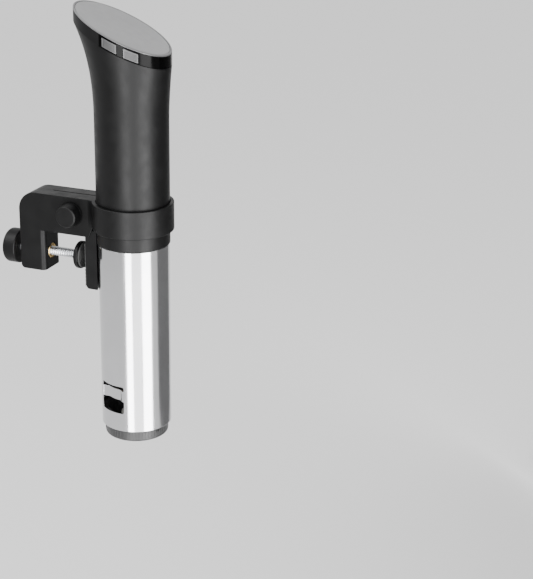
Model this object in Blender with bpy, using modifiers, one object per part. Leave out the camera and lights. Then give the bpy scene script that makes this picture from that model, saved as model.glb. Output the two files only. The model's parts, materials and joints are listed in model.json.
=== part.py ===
"""Sous vide circulator on a screw clamp, built piece by piece.

The pieces are laid out in the clamp ring's frame: the tube's axis is local Z, local z = 0 is the
ring's top face, the clamp's arm runs along local -X and the user stands on the -Y side. An empty
moves that frame so that the world origin is the middle of the fixed jaw's rubber face.
"""
import math

import bmesh
import bpy
from mathutils import Matrix, Vector

MM = 0.001

# ---- fits -------------------------------------------------------------------------------------
GAP = 0.3 * MM                    # between pieces that touch or run in each other
SEAM = 0.5 * MM                   # visible joint line between housing and skirt
OVERSHOOT = 6.0 * MM              # how far a cutter runs past what it cuts

# ---- round pieces: number of flats ------------------------------------------------------------
LARGE_STEPS = 48
MEDIUM_STEPS = 32
SMALL_STEPS = 20
DRILL_STEPS = 12                  # screws, thin rods and the holes for them
PATCH_STEPS = 6                   # along a vent window or a skirt window
ARC_STEPS = 4                     # in a rounded corner
EDGE_STEPS = 3                    # in a knob's rounded edge
HEX_SIDES = 6
SHARP_ANGLE = math.radians(35.0)

# ---- housing ----------------------------------------------------------------------------------
TUBE_R = 31.0 * MM                # outside of the housing's straight part
HOUSING_WALL = 2.4 * MM
HOUSING_BOTTOM_Z = -36.0 * MM
FLARE_START_Z = 70.0 * MM
HEAD_TIP_Z = 163.4 * MM           # high edge of the slanted top, over the arm
HEAD_TOE_Z = 126.3 * MM           # low edge, facing away from the arm
FLARE_BACK = 16.4 * MM            # how far the tip leans out over the arm
FLARE_FRONT = 3.2 * MM
FLARE_SIDE = 3.4 * MM
FLARE_POWER = 2.5                 # how late the back leans out
FLARE_FRONT_POWER = 1.7           # the same for the front and the sides
FLARE_STEPS = 8
BAND_HEIGHT = 11.0 * MM           # upright band under the slanted top
BEZEL_THICK = 0.9 * MM
BEZEL_WIDTH = 1.5 * MM
LENS_CHAMFER = 0.6 * MM
LENS_PLUG = 2.6 * MM              # how deep the lens reaches into the housing
TRIM_THICK = 1.2 * MM
TRIM_ANGLE = math.radians(95.0)   # the gloss trim runs this far to each side of the toe
GRILLE_THICK = 1.4 * MM
GRILLE_RECESS = 0.3 * MM
GRILLE_SILL = 0.4 * MM            # trim left below a grille
GRILLE_HEAD = 1.4 * MM            # and above it
GRILLE_SPANS = {                  # angles from the toe, in degrees
    "rear": (74.3, 92.4),
    "front": (49.0, 67.3),
}
GRILLE_SLOTS = 4
GRILLE_BAR = 0.55                 # share of a slot pitch that stays solid
GRILLE_END = math.radians(2.2)    # solid ends of a grille
GRILLE_SLOT_STEPS = 4

# ---- electronics ------------------------------------------------------------------------------
BOARD_THICK = 1.6 * MM
DISPLAY_BOARD_DROP = 9.0 * MM     # below the top face, measured at the tip
BOARD_EDGE = 2.0 * MM             # from a board's edge to the housing's wall
POWER_BOARD_Y = 9.0 * MM
POWER_BOARD_BOTTOM_Z = 36.0 * MM
POWER_BOARD_TOP_Z = 104.0 * MM
TRANSFORMER = (24.0 * MM, 15.0 * MM, 20.0 * MM)
RELAY = (16.0 * MM, 11.0 * MM, 20.0 * MM)
CAPACITOR_R = 6.0 * MM
CAPACITOR_LENGTH = 22.0 * MM
GLAND_Z = 41.0 * MM
GLAND_R = 5.0 * MM
GLAND_BORE_R = 3.3 * MM
GLAND_DEPTH = 7.0 * MM
GLAND_SHOULDER = 0.8 * MM         # full width past the housing's bore
GLAND_TAPER = 1.0 * MM            # how much narrower its inner end is

# ---- motor and bulkhead -----------------------------------------------------------------------
BULKHEAD_TOP_Z = -30.0 * MM
SPIGOT_BOTTOM_Z = -50.0 * MM
ORING_Z = -44.0 * MM
ORING_SECTION_R = 0.8 * MM
ORING_SQUEEZE = 1.1 * MM          # from the ring's middle to its groove's floor
ORING_FLATS = 8
MOTOR_R = 16.5 * MM
MOTOR_LENGTH = 42.0 * MM
MOTOR_FLANGE_R = 22.0 * MM
MOTOR_FLANGE = 2.6 * MM
MOTOR_NOSE_R = 6.0 * MM
MOTOR_NOSE = 2.5 * MM
MOTOR_SCREW_SHIFT = 0.2 * MM      # outwards from the middle of the flange's rim
SHAFT_R = 2.5 * MM
SHAFT_TOP_Z = 28.0 * MM
SHAFT_SEAL_R = 7.0 * MM
SHAFT_SEAL_DEPTH = 6.0 * MM
SCREW_COUNT = 3
MOTOR_SCREW_R = 1.5 * MM
MOTOR_SCREW_HEAD_R = 2.3 * MM
MOTOR_SCREW_HEAD = 2.0 * MM
MOTOR_SCREW_LENGTH = 10.0 * MM
FAN_Z = 18.0 * MM
FAN_HUB_R = 6.5 * MM
FAN_HEIGHT = 7.0 * MM
FAN_BLADES = 7
FAN_TIP_GAP = 3.0 * MM
FAN_PITCH = math.radians(35.0)
BLADE_THICK = 1.0 * MM

# ---- wet end ----------------------------------------------------------------------------------
SKIRT_STEP = 0.8 * MM             # how far the housing stands out over the skirt
SKIRT_LENGTH = 163.5 * MM
SKIRT_WALL = 0.8 * MM
WINDOW_RISE = 16.5 * MM           # from the skirt's lower edge to the window's sill
WINDOW_HEIGHT = 25.0 * MM
WINDOW_WIDTH = math.radians(51.0)
WINDOW_ANGLES = {"near": math.radians(-110.0), "far": math.radians(70.0)}
STRAP_RISE = 10.6 * MM            # from the sill to the strap's lower edge
STRAP_HEIGHT = 9.8 * MM
STRAP_DISH = 4.0 * MM             # how far the strap is pressed inwards
STRAP_LAP = math.radians(3.0)     # each end laps behind the skirt's wall
STRAP_OVERLAP = 0.3 * MM          # how far a lapped end stands inside the wall
STRAP_STEPS = 12
CAP_INSET = 2.8 * MM              # from the skirt's outside to the cap's
CAP_DROP = 10.4 * MM              # below the skirt's lower edge
CAP_SPIGOT = 14.0 * MM            # inside the skirt
CAP_WALL = 2.6 * MM
CAP_FLOOR = 2.2 * MM
CAP_CHAMFER = 1.6 * MM
CAP_SLOTS = 6
CAP_SLOT_WIDTH = 3.2 * MM
CAP_SLOT_INNER_R = 7.0 * MM
CAP_SLOT_OUTER_R = 21.0 * MM
NOTCH_WIDTH = 6.0 * MM
NOTCH_HEIGHT = 4.0 * MM
NOTCH_DEPTH = 1.0 * MM
NOTCH_ANGLE = math.radians(-20.0)
COIL_TUBE_R = 3.2 * MM
COIL_WALL_GAP = 6.6 * MM          # from the skirt's bore to the coil's outside
COIL_TURNS = 2.5
COIL_PITCH = 10.5 * MM
COIL_RISE = 22.0 * MM             # from the skirt's lower edge to the lowest turn
COIL_TURN_POINTS = 20
COIL_TAIL_RISE = 16.0 * MM        # over which an end turns into its straight leg
COIL_TAIL_GAP = 1.0 * MM          # between the turns and the leg that rises inside them
COIL_DIVE_BACK = 1.6              # bend below the first turn, in tube radii: backwards
COIL_DIVE_IN = 0.6                # and inwards
COIL_TAIL_BACK = 1.9              # inner leg behind the first turn's start, in tube radii
COIL_START_ANGLE = math.radians(-30.0)
LEG_SOCKET = 5.0 * MM             # how far legs and probes reach into the bulkhead
PROBE_R = 2.0 * MM
PROBE_REACH = 10.0 * MM           # its tip above the coil's lowest turn
PROBE_POSITION = (12.0 * MM, math.radians(60.0))
LOW_ROD_CLEAR = 6.5 * MM          # its tip above the coil
HIGH_ROD_LENGTH = 24.0 * MM
ROD_R = 1.5 * MM
LOW_ROD_POSITION = (21.5 * MM, math.radians(100.0))
HIGH_ROD_POSITION = (21.5 * MM, math.radians(200.0))
GUIDE_WALL = 1.4 * MM
GUIDE_CLEAR = 14.7 * MM           # from the impeller's top to the guide's end
GUIDE_FLANGE_R = 9.5 * MM
GUIDE_FLANGE = 2.0 * MM
BUSH_LENGTH = 12.0 * MM
BUSH_FLANGE = 1.8 * MM
IMPELLER_RISE = 6.0 * MM          # from the skirt's lower edge to its backplate
IMPELLER_HEIGHT = 9.0 * MM
IMPELLER_R = 13.5 * MM
IMPELLER_PLATE = 1.6 * MM
IMPELLER_BLADES = 5
IMPELLER_HUB = 2.0                # hub's radius in shaft radii

# ---- clamp ------------------------------------------------------------------------------------
RING_HEIGHT = 24.0 * MM
RING_WALL = 1.9 * MM
LINER_THICK = 1.0 * MM
LINER_LIP = 2.0 * MM              # height of the lips that hold the liner in its groove
ARM_WIDTH = 27.3 * MM
ARM_DEPTH = 33.3 * MM
ARM_CORNER_R = 16.0 * MM
ARM_FILLET_R = 8.0 * MM           # on each side, where the arm meets the ring
JAW_OFFSET = 5.2 * MM             # from the ring to the fixed jaw's face
FIXED_JAW_DROP = 46.8 * MM        # below the arm
FIXED_JAW_WIDTH = 26.0 * MM
FIXED_JAW_CORNER_R = 3.0 * MM     # along the lower edge of its face
JAW_ROOT = 6.0 * MM               # how far the fixed jaw is rooted in the arm
PAD_THICK = 1.5 * MM
PAD_WIDTH = 22.0 * MM
PAD_HEIGHT = 38.0 * MM
PAD_DROP = 7.0 * MM               # from the arm's underside to the pad's top
THROAT = 37.2 * MM                # clear opening between the jaws
OUTER_JAW_THICK = 23.7 * MM
OUTER_JAW_DROP = 36.2 * MM        # below the arm's underside
OUTER_JAW_CORNER = 4.0 * MM
SLOT_WIDTH = 1.4 * MM
SLOT_REACH = 41.4 * MM            # beyond the ring's outside
SCREW_DROP = 21.4 * MM            # clamp screw's axis below the arm's underside
CLAMP_SCREW_R = 4.0 * MM
INSERT_WALL = 2.2 * MM
KNOB_R = 15.0 * MM
KNOB_THICK = 12.5 * MM
KNOB_EDGE_R = 3.0 * MM
KNOB_GAP = 6.2 * MM               # between the knob and the outer jaw
KNOB_SOCKET = 6.0 * MM            # screw's grip in the knob
GRIP_AT_REST = 5.5 * MM           # gap between the two pads as modelled
FOOT_R = 12.0 * MM
FOOT_THICK = 5.0 * MM
FOOT_SOCKET = 2.6 * MM
FOOT_RIM = 0.6                    # share of its thickness that is full width
FOOT_BACK = 0.6                   # back's radius as a share of the face's
FOOT_PAD_R = 11.0 * MM
FOOT_PAD_THICK = 1.5 * MM
RING_SCREW_OFFSET = 17.0 * MM     # from the ring's outside to the ring screw's axis
RING_SCREW_Z = -14.4 * MM
RING_SCREW_R = 3.0 * MM
RING_KNOB_R = 9.4 * MM
RING_KNOB_BASE_R = 10.4 * MM
RING_KNOB_THICK = 9.6 * MM
RING_KNOB_SOCKET = 5.0 * MM
RING_KNOB_EDGE_R = 1.6 * MM
WASHER_R = 10.0 * MM
WASHER_THICK = 1.2 * MM
NUT_ACROSS = 10.0 * MM            # over the flats
NUT_THICK = 5.0 * MM
NUT_RECESS = 0.6 * MM
SCREW_TAIL = 0.8 * MM             # ring screw's end past the nut

# ---- worked out from the sizes above ----------------------------------------------------------
HOUSING_BORE_R = TUBE_R - HOUSING_WALL
SKIRT_TOP_Z = HOUSING_BOTTOM_Z - SEAM
SKIRT_BOTTOM_Z = SKIRT_TOP_Z - SKIRT_LENGTH
SKIRT_R = TUBE_R - SKIRT_STEP
CAP_R = SKIRT_R - CAP_INSET
SKIRT_BORE_R = SKIRT_R - SKIRT_WALL
BAND_TIP_Z = HEAD_TIP_Z - BAND_HEIGHT
BAND_TOE_Z = HEAD_TOE_Z - BAND_HEIGHT
RIM_Z = HEAD_TIP_Z - BEZEL_THICK - GAP
LINER_BORE_R = TUBE_R + GAP
LINER_R = LINER_BORE_R + LINER_THICK
GROOVE_R = LINER_R + GAP
RING_R = GROOVE_R + RING_WALL
LIP_R = TUBE_R + 2.0 * GAP
ARM_UNDER_Z = -ARM_DEPTH
JAW_FACE_X = -(RING_R + JAW_OFFSET)
PAD_FACE_X = JAW_FACE_X - GAP - PAD_THICK
PAD_CENTRE_Z = ARM_UNDER_Z - PAD_DROP - PAD_HEIGHT / 2.0
OUTER_JAW_X = PAD_FACE_X - THROAT
ARM_END_X = OUTER_JAW_X - OUTER_JAW_THICK
SLOT_END_X = -(RING_R + SLOT_REACH)
CLAMP_SCREW_Z = ARM_UNDER_Z - SCREW_DROP
FOOT_FACE_X = PAD_FACE_X - GRIP_AT_REST
RING_SCREW_X = -(RING_R + RING_SCREW_OFFSET)
COIL_R = SKIRT_BORE_R - COIL_WALL_GAP - COIL_TUBE_R
COIL_LOW_Z = SKIRT_BOTTOM_Z + COIL_RISE
COIL_HIGH_Z = COIL_LOW_Z + COIL_PITCH * COIL_TURNS
IMPELLER_Z = SKIRT_BOTTOM_Z + IMPELLER_RISE
GUIDE_BORE_R = SHAFT_R + GUIDE_WALL - GAP
GUIDE_BOTTOM_Z = IMPELLER_Z + IMPELLER_HEIGHT + GUIDE_CLEAR
PROBE_END_Z = COIL_LOW_Z + PROBE_REACH
LOW_ROD_END_Z = COIL_HIGH_Z + COIL_TUBE_R + LOW_ROD_CLEAR
HIGH_ROD_END_Z = SPIGOT_BOTTOM_Z - HIGH_ROD_LENGTH


# ---- scene ------------------------------------------------------------------------------------
def clear_scene():
    for item in list(bpy.data.objects):
        bpy.data.objects.remove(item, do_unlink=True)


def new_collection(name):
    collection = bpy.data.collections.new(name)
    bpy.context.scene.collection.children.link(collection)
    return collection


def new_material(name, color, roughness, metallic=0.0):
    material = bpy.data.materials.new(name)
    material.use_nodes = True
    shader = material.node_tree.nodes["Principled BSDF"]
    shader.inputs["Base Color"].default_value = (*color, 1.0)
    shader.inputs["Roughness"].default_value = roughness
    shader.inputs["Metallic"].default_value = metallic
    return material


def new_object(name, data):
    item = bpy.data.objects.new(name, data)
    PARTS.objects.link(item)
    return item


def settle(item):
    """Turn an object and its modifiers into a plain mesh."""
    bpy.context.view_layer.update()
    graph = bpy.context.evaluated_depsgraph_get()
    mesh = bpy.data.meshes.new_from_object(item.evaluated_get(graph))
    item.modifiers.clear()
    if item.type == "MESH":
        item.data = mesh
        return item
    weld(mesh)
    solid = new_object(item.name, mesh)
    solid.matrix_world = item.matrix_world.copy()
    name = item.name
    bpy.data.objects.remove(item, do_unlink=True)
    solid.name = name
    return solid


def weld(mesh):
    form = bmesh.new()
    form.from_mesh(mesh)
    bmesh.ops.remove_doubles(form, verts=form.verts, dist=0.001 * MM)
    form.to_mesh(mesh)
    form.free()


def move_mesh(item, matrix):
    item.data.transform(matrix)
    return item


def combine(item, other, operation, solver="EXACT"):
    """Join another solid to an object, or cut it away, and drop the other."""
    step = item.modifiers.new(operation.lower(), "BOOLEAN")
    step.operation = operation
    step.solver = solver
    step.object = other
    settle(item)
    bpy.data.objects.remove(other, do_unlink=True)
    return item


def cut(item, *cutters, solver="EXACT"):
    for cutter in cutters:
        combine(item, cutter, "DIFFERENCE", solver)
    return item


def cut_clean(item, *cutters):
    """Cut where the exact solver leaves open edges: the twisted wall and round holes in round pieces."""
    return cut(item, *cutters, solver="MANIFOLD")


def join(item, *others):
    for other in others:
        combine(item, other, "UNION")
    return item


def finish(item, material, parent):
    """Give a finished piece its material, its shading and its place on the object."""
    item.data.materials.clear()
    item.data.materials.append(material)
    item.data.shade_smooth()
    item.data.set_sharp_from_angle(angle=SHARP_ANGLE)
    item.parent = parent
    return item


# ---- solids -----------------------------------------------------------------------------------
def loft(name, sections, closed):
    """Solid through closed outlines of equal point count, as a ring or with end faces."""
    form = bmesh.new()
    loops = [[form.verts.new(point) for point in section] for section in sections]
    pairs = list(zip(loops, loops[1:]))
    if closed:
        pairs.append((loops[-1], loops[0]))
    else:
        form.faces.new(loops[0])
        form.faces.new(list(reversed(loops[-1])))
    count = len(sections[0])
    for first, second in pairs:
        for index in range(count):
            after = (index + 1) % count
            form.faces.new((first[index], second[index], second[after], first[after]))
    bmesh.ops.recalc_face_normals(form, faces=form.faces)
    mesh = bpy.data.meshes.new(name)
    form.to_mesh(mesh)
    form.free()
    return new_object(name, mesh)


def turned(name, profile, steps=SMALL_STEPS, bored=False):
    """Solid turned about local Z from (radius, height) points that run down the outside.

    A bored profile is a closed outline clear of the axis; any other starts and ends on it.
    """
    mesh = bpy.data.meshes.new(name)
    points = [(radius, 0.0, height) for radius, height in profile]
    edges = [(index, index + 1) for index in range(len(points) - 1)]
    if bored:
        edges.append((len(points) - 1, 0))
    mesh.from_pydata(points, edges, [])
    item = new_object(name, mesh)
    screw = item.modifiers.new("turn", "SCREW")
    screw.axis = "Z"
    screw.steps = steps
    screw.render_steps = steps
    screw.use_merge_vertices = True
    screw.merge_threshold = 0.01 * MM
    return settle(item)


def rod(name, radius, low, high, steps=SMALL_STEPS):
    return turned(name, [(0.0, high), (radius, high), (radius, low), (0.0, low)], steps)


def tube(name, radius, bore, low, high, steps=SMALL_STEPS):
    profile = [(radius, high), (radius, low), (bore, low), (bore, high)]
    return turned(name, profile, steps, bored=True)


def block(name, low, high):
    """Box between two opposite corners."""
    bpy.ops.mesh.primitive_cube_add(size=1.0)
    item = bpy.context.object
    for holder in list(item.users_collection):
        holder.objects.unlink(item)
    PARTS.objects.link(item)
    item.name = name
    size = Vector(high) - Vector(low)
    middle = (Vector(high) + Vector(low)) / 2.0
    return move_mesh(item, Matrix.Translation(middle) @ Matrix.Diagonal((*size, 1.0)))


def rounded(corners):
    """Outline from (x, y, radius) corners, each replaced by an arc."""
    points = []
    for index, (x, y, radius) in enumerate(corners):
        here = Vector((x, y))
        if radius == 0.0:
            points.append(here)
            continue
        back = (Vector(corners[index - 1][:2]) - here).normalized()
        ahead = (Vector(corners[(index + 1) % len(corners)][:2]) - here).normalized()
        half_angle = back.angle(ahead) / 2.0
        reach = radius / math.tan(half_angle)
        centre = here + (back + ahead).normalized() * radius / math.sin(half_angle)
        start = here + back * reach - centre
        turn = start.angle_signed(here + ahead * reach - centre)
        for step in range(ARC_STEPS + 1):
            points.append(centre + Matrix.Rotation(-turn * step / ARC_STEPS, 2) @ start)
    return points


def plate(name, outline, thickness):
    """Flat outline in local XY, thickened evenly to both sides."""
    curve = bpy.data.curves.new(name, "CURVE")
    curve.dimensions = "2D"
    curve.fill_mode = "BOTH"
    curve.extrude = thickness / 2.0
    spline = curve.splines.new("POLY")
    spline.points.add(len(outline) - 1)
    for point, (x, y) in zip(spline.points, outline):
        point.co = (x, y, 0.0, 1.0)
    spline.use_cyclic_u = True
    return settle(new_object(name, curve))


def ring_of_points(radius, count, phase=0.0):
    for index in range(count):
        angle = phase + math.tau * index / count
        yield angle, radius * math.cos(angle), radius * math.sin(angle)


# ---- the housing's outside --------------------------------------------------------------------
def head_section(rise):
    """Outline of the housing that has its tip side at height rise: a level circle low down,
    a slanted ellipse higher up. Returns centre x, half length, half width, centre z and the
    toe's height over the centre."""
    if rise <= FLARE_START_Z:
        return 0.0, TUBE_R, TUBE_R, rise, 0.0
    blend = min((rise - FLARE_START_Z) / (BAND_TIP_Z - FLARE_START_Z), 1.0)
    tip_x = -TUBE_R - FLARE_BACK * blend ** FLARE_POWER
    toe_x = TUBE_R + FLARE_FRONT * blend ** FLARE_FRONT_POWER
    half_width = TUBE_R + FLARE_SIDE * blend ** FLARE_FRONT_POWER
    toe_z = FLARE_START_Z + blend * (BAND_TOE_Z - FLARE_START_Z) + max(rise - BAND_TIP_Z, 0.0)
    half_length = (toe_x - tip_x) / 2.0
    return (tip_x + toe_x) / 2.0, half_length, half_width, (rise + toe_z) / 2.0, (toe_z - rise) / 2.0


def head_point(rise, angle, depth):
    """Point at an angle from the toe, the given depth inside the housing's outer surface."""
    centre_x, half_length, half_width, centre_z, toe_rise = head_section(rise)
    along = (half_length - depth) * math.cos(angle)
    across = (half_width - depth) * math.sin(angle)
    return Vector((centre_x + along, across, centre_z + toe_rise * along / half_length))


def head_shell(name, outer_depth, inner_depth, rises, steps=LARGE_STEPS):
    """Wall that follows the housing all the way round."""
    sections = []
    for index in range(steps):
        angle = math.tau * index / steps
        outside = [head_point(rise, angle, outer_depth) for rise in rises]
        inside = [head_point(rise, angle, inner_depth) for rise in reversed(rises)]
        sections.append(outside + inside)
    return loft(name, sections, closed=True)


def head_patch(name, outer_depth, inner_depth, rises, start, end, steps):
    """Piece of wall that follows the housing from one angle to another."""
    sections = []
    for index in range(steps + 1):
        angle = start + (end - start) * index / steps
        outside = [head_point(rise, angle, outer_depth) for rise in rises]
        inside = [head_point(rise, angle, inner_depth) for rise in reversed(rises)]
        sections.append(outside + inside)
    return loft(name, sections, closed=False)


def head_disc(name, rings, steps=LARGE_STEPS):
    """Solid disc across the housing from (rise, depth) rings."""
    sections = []
    for rise, depth in rings:
        sections.append([head_point(rise, math.tau * index / steps, depth) for index in range(steps)])
    return loft(name, sections, closed=False)


def window_rises():
    low = BAND_TIP_Z + GAP + GRILLE_SILL
    high = RIM_Z - GRILLE_HEAD
    return low, high


def grille_windows(name, depth):
    """Cutters for the four vent windows in the band."""
    cutters = []
    for side in (-1.0, 1.0):
        for place, (start, end) in GRILLE_SPANS.items():
            first = side * math.radians(start)
            last = side * math.radians(end)
            label = f"{name}_{place}"
            cutters.append(head_patch(label, -OVERSHOOT, depth, window_rises(), first, last, PATCH_STEPS))
    return cutters


def head_housing():
    rise = (BAND_TIP_Z - FLARE_START_Z) / FLARE_STEPS
    flare = [FLARE_START_Z + rise * index for index in range(FLARE_STEPS + 1)]
    item = head_shell("head_housing", 0.0, HOUSING_WALL, [HOUSING_BOTTOM_Z] + flare + [RIM_Z])
    trim_bed = head_patch(
        "trim_bed", -OVERSHOOT, TRIM_THICK + GAP, (BAND_TIP_Z - GAP, RIM_Z + OVERSHOOT),
        -TRIM_ANGLE - GAP / TUBE_R, TRIM_ANGLE + GAP / TUBE_R, LARGE_STEPS // 2,
    )
    gland_hole = rod("gland_hole", GLAND_R + GAP, 0.0, TUBE_R + OVERSHOOT)
    move_mesh(gland_hole, gland_matrix())
    return cut_clean(item, trim_bed, gland_hole, *grille_windows("vent_hole", HOUSING_WALL + OVERSHOOT))


def trim_band():
    rises = (BAND_TIP_Z + GAP, RIM_Z)
    item = head_patch("trim_band", 0.0, TRIM_THICK, rises, -TRIM_ANGLE, TRIM_ANGLE, LARGE_STEPS // 2)
    return cut_clean(item, *grille_windows("trim_hole", TRIM_THICK + OVERSHOOT))


def vent_grille(name, side, place):
    """Slatted insert of one vent window."""
    start, end = (math.radians(value) for value in GRILLE_SPANS[place])
    inset = GAP / TUBE_R
    low, high = window_rises()
    low += GAP
    high -= GAP
    inner = GRILLE_RECESS + GRILLE_THICK
    first = side * (start + inset)
    last = side * (end - inset)
    item = head_patch(name, GRILLE_RECESS, inner, (low, high), first, last, PATCH_STEPS)
    pitch = (high - low) / (GRILLE_SLOTS + 0.5)
    for index in range(GRILLE_SLOTS):
        floor = low + pitch * (index + 0.5)
        rises = (floor, floor + pitch * (1.0 - GRILLE_BAR))
        slot = head_patch(
            "grille_slot", -OVERSHOOT, inner + OVERSHOOT, rises,
            side * (start + GRILLE_END), side * (end - GRILLE_END), GRILLE_SLOT_STEPS,
        )
        cut_clean(item, slot)
    return item


def display_bezel():
    return head_shell("display_bezel", 0.0, BEZEL_WIDTH, (HEAD_TIP_Z - BEZEL_THICK, HEAD_TIP_Z))


def display_lens():
    edge = BEZEL_WIDTH + GAP
    plug = HOUSING_WALL + GAP
    seat = HEAD_TIP_Z - BEZEL_THICK
    rings = [
        (HEAD_TIP_Z - LENS_PLUG, plug),
        (seat, plug),
        (seat, edge),
        (HEAD_TIP_Z - LENS_CHAMFER / 2.0, edge),
        (HEAD_TIP_Z, edge + LENS_CHAMFER),
    ]
    return head_disc("display_lens", rings)


def display_board():
    top = HEAD_TIP_Z - DISPLAY_BOARD_DROP
    depth = HOUSING_WALL + BOARD_EDGE
    return head_disc("display_board", [(top - BOARD_THICK, depth), (top, depth)], MEDIUM_STEPS)


# ---- electronics ------------------------------------------------------------------------------
def power_board():
    far_y = POWER_BOARD_Y + BOARD_THICK
    half = math.sqrt(HOUSING_BORE_R ** 2 - far_y ** 2) - BOARD_EDGE
    low = (-half, POWER_BOARD_Y, POWER_BOARD_BOTTOM_Z)
    return block("power_board", low, (half, far_y, POWER_BOARD_TOP_Z))


def on_board(name, size, x, low_z):
    """Component box that stands off the power board's front."""
    width, depth, height = size
    near_y = POWER_BOARD_Y - GAP
    low = (x - width / 2.0, near_y - depth, low_z)
    return block(name, low, (x + width / 2.0, near_y, low_z + height))


def filter_capacitor():
    item = rod("filter_capacitor", CAPACITOR_R, -CAPACITOR_LENGTH, 0.0)
    item.rotation_euler = (math.radians(-90.0), 0.0, 0.0)
    item.location = (0.0, POWER_BOARD_Y - GAP, POWER_BOARD_TOP_Z - CAPACITOR_R - BOARD_EDGE)
    return item


def gland_matrix():
    """Turns local Z to point out of the housing's back at the gland's height."""
    return Matrix.Translation((0.0, 0.0, GLAND_Z)) @ Matrix.Rotation(math.radians(-90.0), 4, "Y")


def cord_gland():
    bore_edge = math.sqrt(HOUSING_BORE_R ** 2 - GLAND_R ** 2)
    outer = math.sqrt(TUBE_R ** 2 - GLAND_R ** 2)
    inner = TUBE_R - GLAND_DEPTH
    collar = bore_edge - GAP
    profile = [
        (GLAND_R, outer), (GLAND_R, collar - GLAND_SHOULDER),
        (GLAND_R - GLAND_TAPER, inner), (GLAND_BORE_R, inner), (GLAND_BORE_R, outer),
    ]
    return move_mesh(turned("cord_gland", profile, SMALL_STEPS, bored=True), gland_matrix())


# ---- motor and bulkhead -----------------------------------------------------------------------
def motor_screw_places():
    return list(ring_of_points((MOTOR_R + MOTOR_FLANGE_R) / 2.0 + MOTOR_SCREW_SHIFT, SCREW_COUNT))


def leg_places():
    """Where the heater's legs, the probe and the level rods enter the bulkhead: name, place, radius."""
    start = COIL_START_ANGLE
    end = COIL_START_ANGLE + math.tau * COIL_TURNS
    places = [
        ("leg_in", (COIL_R, start), COIL_TUBE_R),
        ("leg_out", (COIL_R, end), COIL_TUBE_R),
        ("probe", PROBE_POSITION, PROBE_R),
        ("low_rod", LOW_ROD_POSITION, ROD_R),
        ("high_rod", HIGH_ROD_POSITION, ROD_R),
    ]
    return [(name, (r * math.cos(a), r * math.sin(a)), radius) for name, (r, a), radius in places]


def bulkhead():
    inside_r = HOUSING_BORE_R - GAP
    spigot_r = SKIRT_BORE_R - GAP
    ledge_z = HOUSING_BOTTOM_Z - GAP
    groove_r = SKIRT_BORE_R - GAP - ORING_SECTION_R - ORING_SQUEEZE
    half_groove = ORING_SECTION_R + GAP
    shaft_bore = SHAFT_R + GAP
    seal_bore = SHAFT_SEAL_R + GAP
    profile = [
        (inside_r, BULKHEAD_TOP_Z), (inside_r, ledge_z), (spigot_r, ledge_z),
        (spigot_r, ORING_Z + half_groove), (groove_r, ORING_Z + half_groove),
        (groove_r, ORING_Z - half_groove), (spigot_r, ORING_Z - half_groove),
        (spigot_r, SPIGOT_BOTTOM_Z), (seal_bore, SPIGOT_BOTTOM_Z),
        (seal_bore, SPIGOT_BOTTOM_Z + SHAFT_SEAL_DEPTH + GAP),
        (shaft_bore, SPIGOT_BOTTOM_Z + SHAFT_SEAL_DEPTH + GAP), (shaft_bore, BULKHEAD_TOP_Z),
    ]
    item = turned("bulkhead", profile, LARGE_STEPS, bored=True)
    socket_top = SPIGOT_BOTTOM_Z + LEG_SOCKET + GAP
    for name, (x, y), radius in leg_places():
        hole = rod(f"{name}_hole", radius + GAP, SPIGOT_BOTTOM_Z - OVERSHOOT, socket_top, DRILL_STEPS)
        cut_clean(item, move_mesh(hole, Matrix.Translation((x, y, 0.0))))
    screw_end = BULKHEAD_TOP_Z + GAP + MOTOR_FLANGE + GAP - MOTOR_SCREW_LENGTH
    for _, x, y in motor_screw_places():
        high = BULKHEAD_TOP_Z + OVERSHOOT
        hole = rod("tapped_hole", MOTOR_SCREW_R + GAP, screw_end - GAP, high, DRILL_STEPS)
        cut_clean(item, move_mesh(hole, Matrix.Translation((x, y, 0.0))))
    return item


def skirt_o_ring():
    middle_r = SKIRT_BORE_R - GAP - ORING_SECTION_R
    profile = []
    for index in range(ORING_FLATS):
        angle = -math.tau * index / ORING_FLATS
        height = ORING_Z + ORING_SECTION_R * math.sin(angle)
        profile.append((middle_r + ORING_SECTION_R * math.cos(angle), height))
    return turned("skirt_o_ring", profile, LARGE_STEPS, bored=True)


def motor():
    base = BULKHEAD_TOP_Z + GAP
    top = base + MOTOR_LENGTH
    bore = SHAFT_R + GAP
    profile = [
        (MOTOR_NOSE_R, top + MOTOR_NOSE), (MOTOR_NOSE_R, top), (MOTOR_R, top),
        (MOTOR_R, base + MOTOR_FLANGE), (MOTOR_FLANGE_R, base + MOTOR_FLANGE),
        (MOTOR_FLANGE_R, base), (bore, base), (bore, top + MOTOR_NOSE),
    ]
    item = turned("motor", profile, MEDIUM_STEPS, bored=True)
    for _, x, y in motor_screw_places():
        high = base + MOTOR_FLANGE + OVERSHOOT
        hole = rod("flange_hole", MOTOR_SCREW_R + GAP, base - OVERSHOOT, high, DRILL_STEPS)
        cut_clean(item, move_mesh(hole, Matrix.Translation((x, y, 0.0))))
    return item


def motor_screw(name, x, y):
    seat = BULKHEAD_TOP_Z + GAP + MOTOR_FLANGE + GAP
    profile = [
        (0.0, seat + MOTOR_SCREW_HEAD), (MOTOR_SCREW_HEAD_R, seat + MOTOR_SCREW_HEAD),
        (MOTOR_SCREW_HEAD_R, seat), (MOTOR_SCREW_R, seat),
        (MOTOR_SCREW_R, seat - MOTOR_SCREW_LENGTH), (0.0, seat - MOTOR_SCREW_LENGTH),
    ]
    item = turned(name, profile, DRILL_STEPS)
    item.location = (x, y, 0.0)
    return item


def shaft_seal():
    low = SPIGOT_BOTTOM_Z
    return tube("shaft_seal", SHAFT_SEAL_R, SHAFT_R + GAP, low, low + SHAFT_SEAL_DEPTH)


def motor_shaft():
    return rod("motor_shaft", SHAFT_R, IMPELLER_Z + IMPELLER_PLATE + GAP, SHAFT_TOP_Z)


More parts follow.
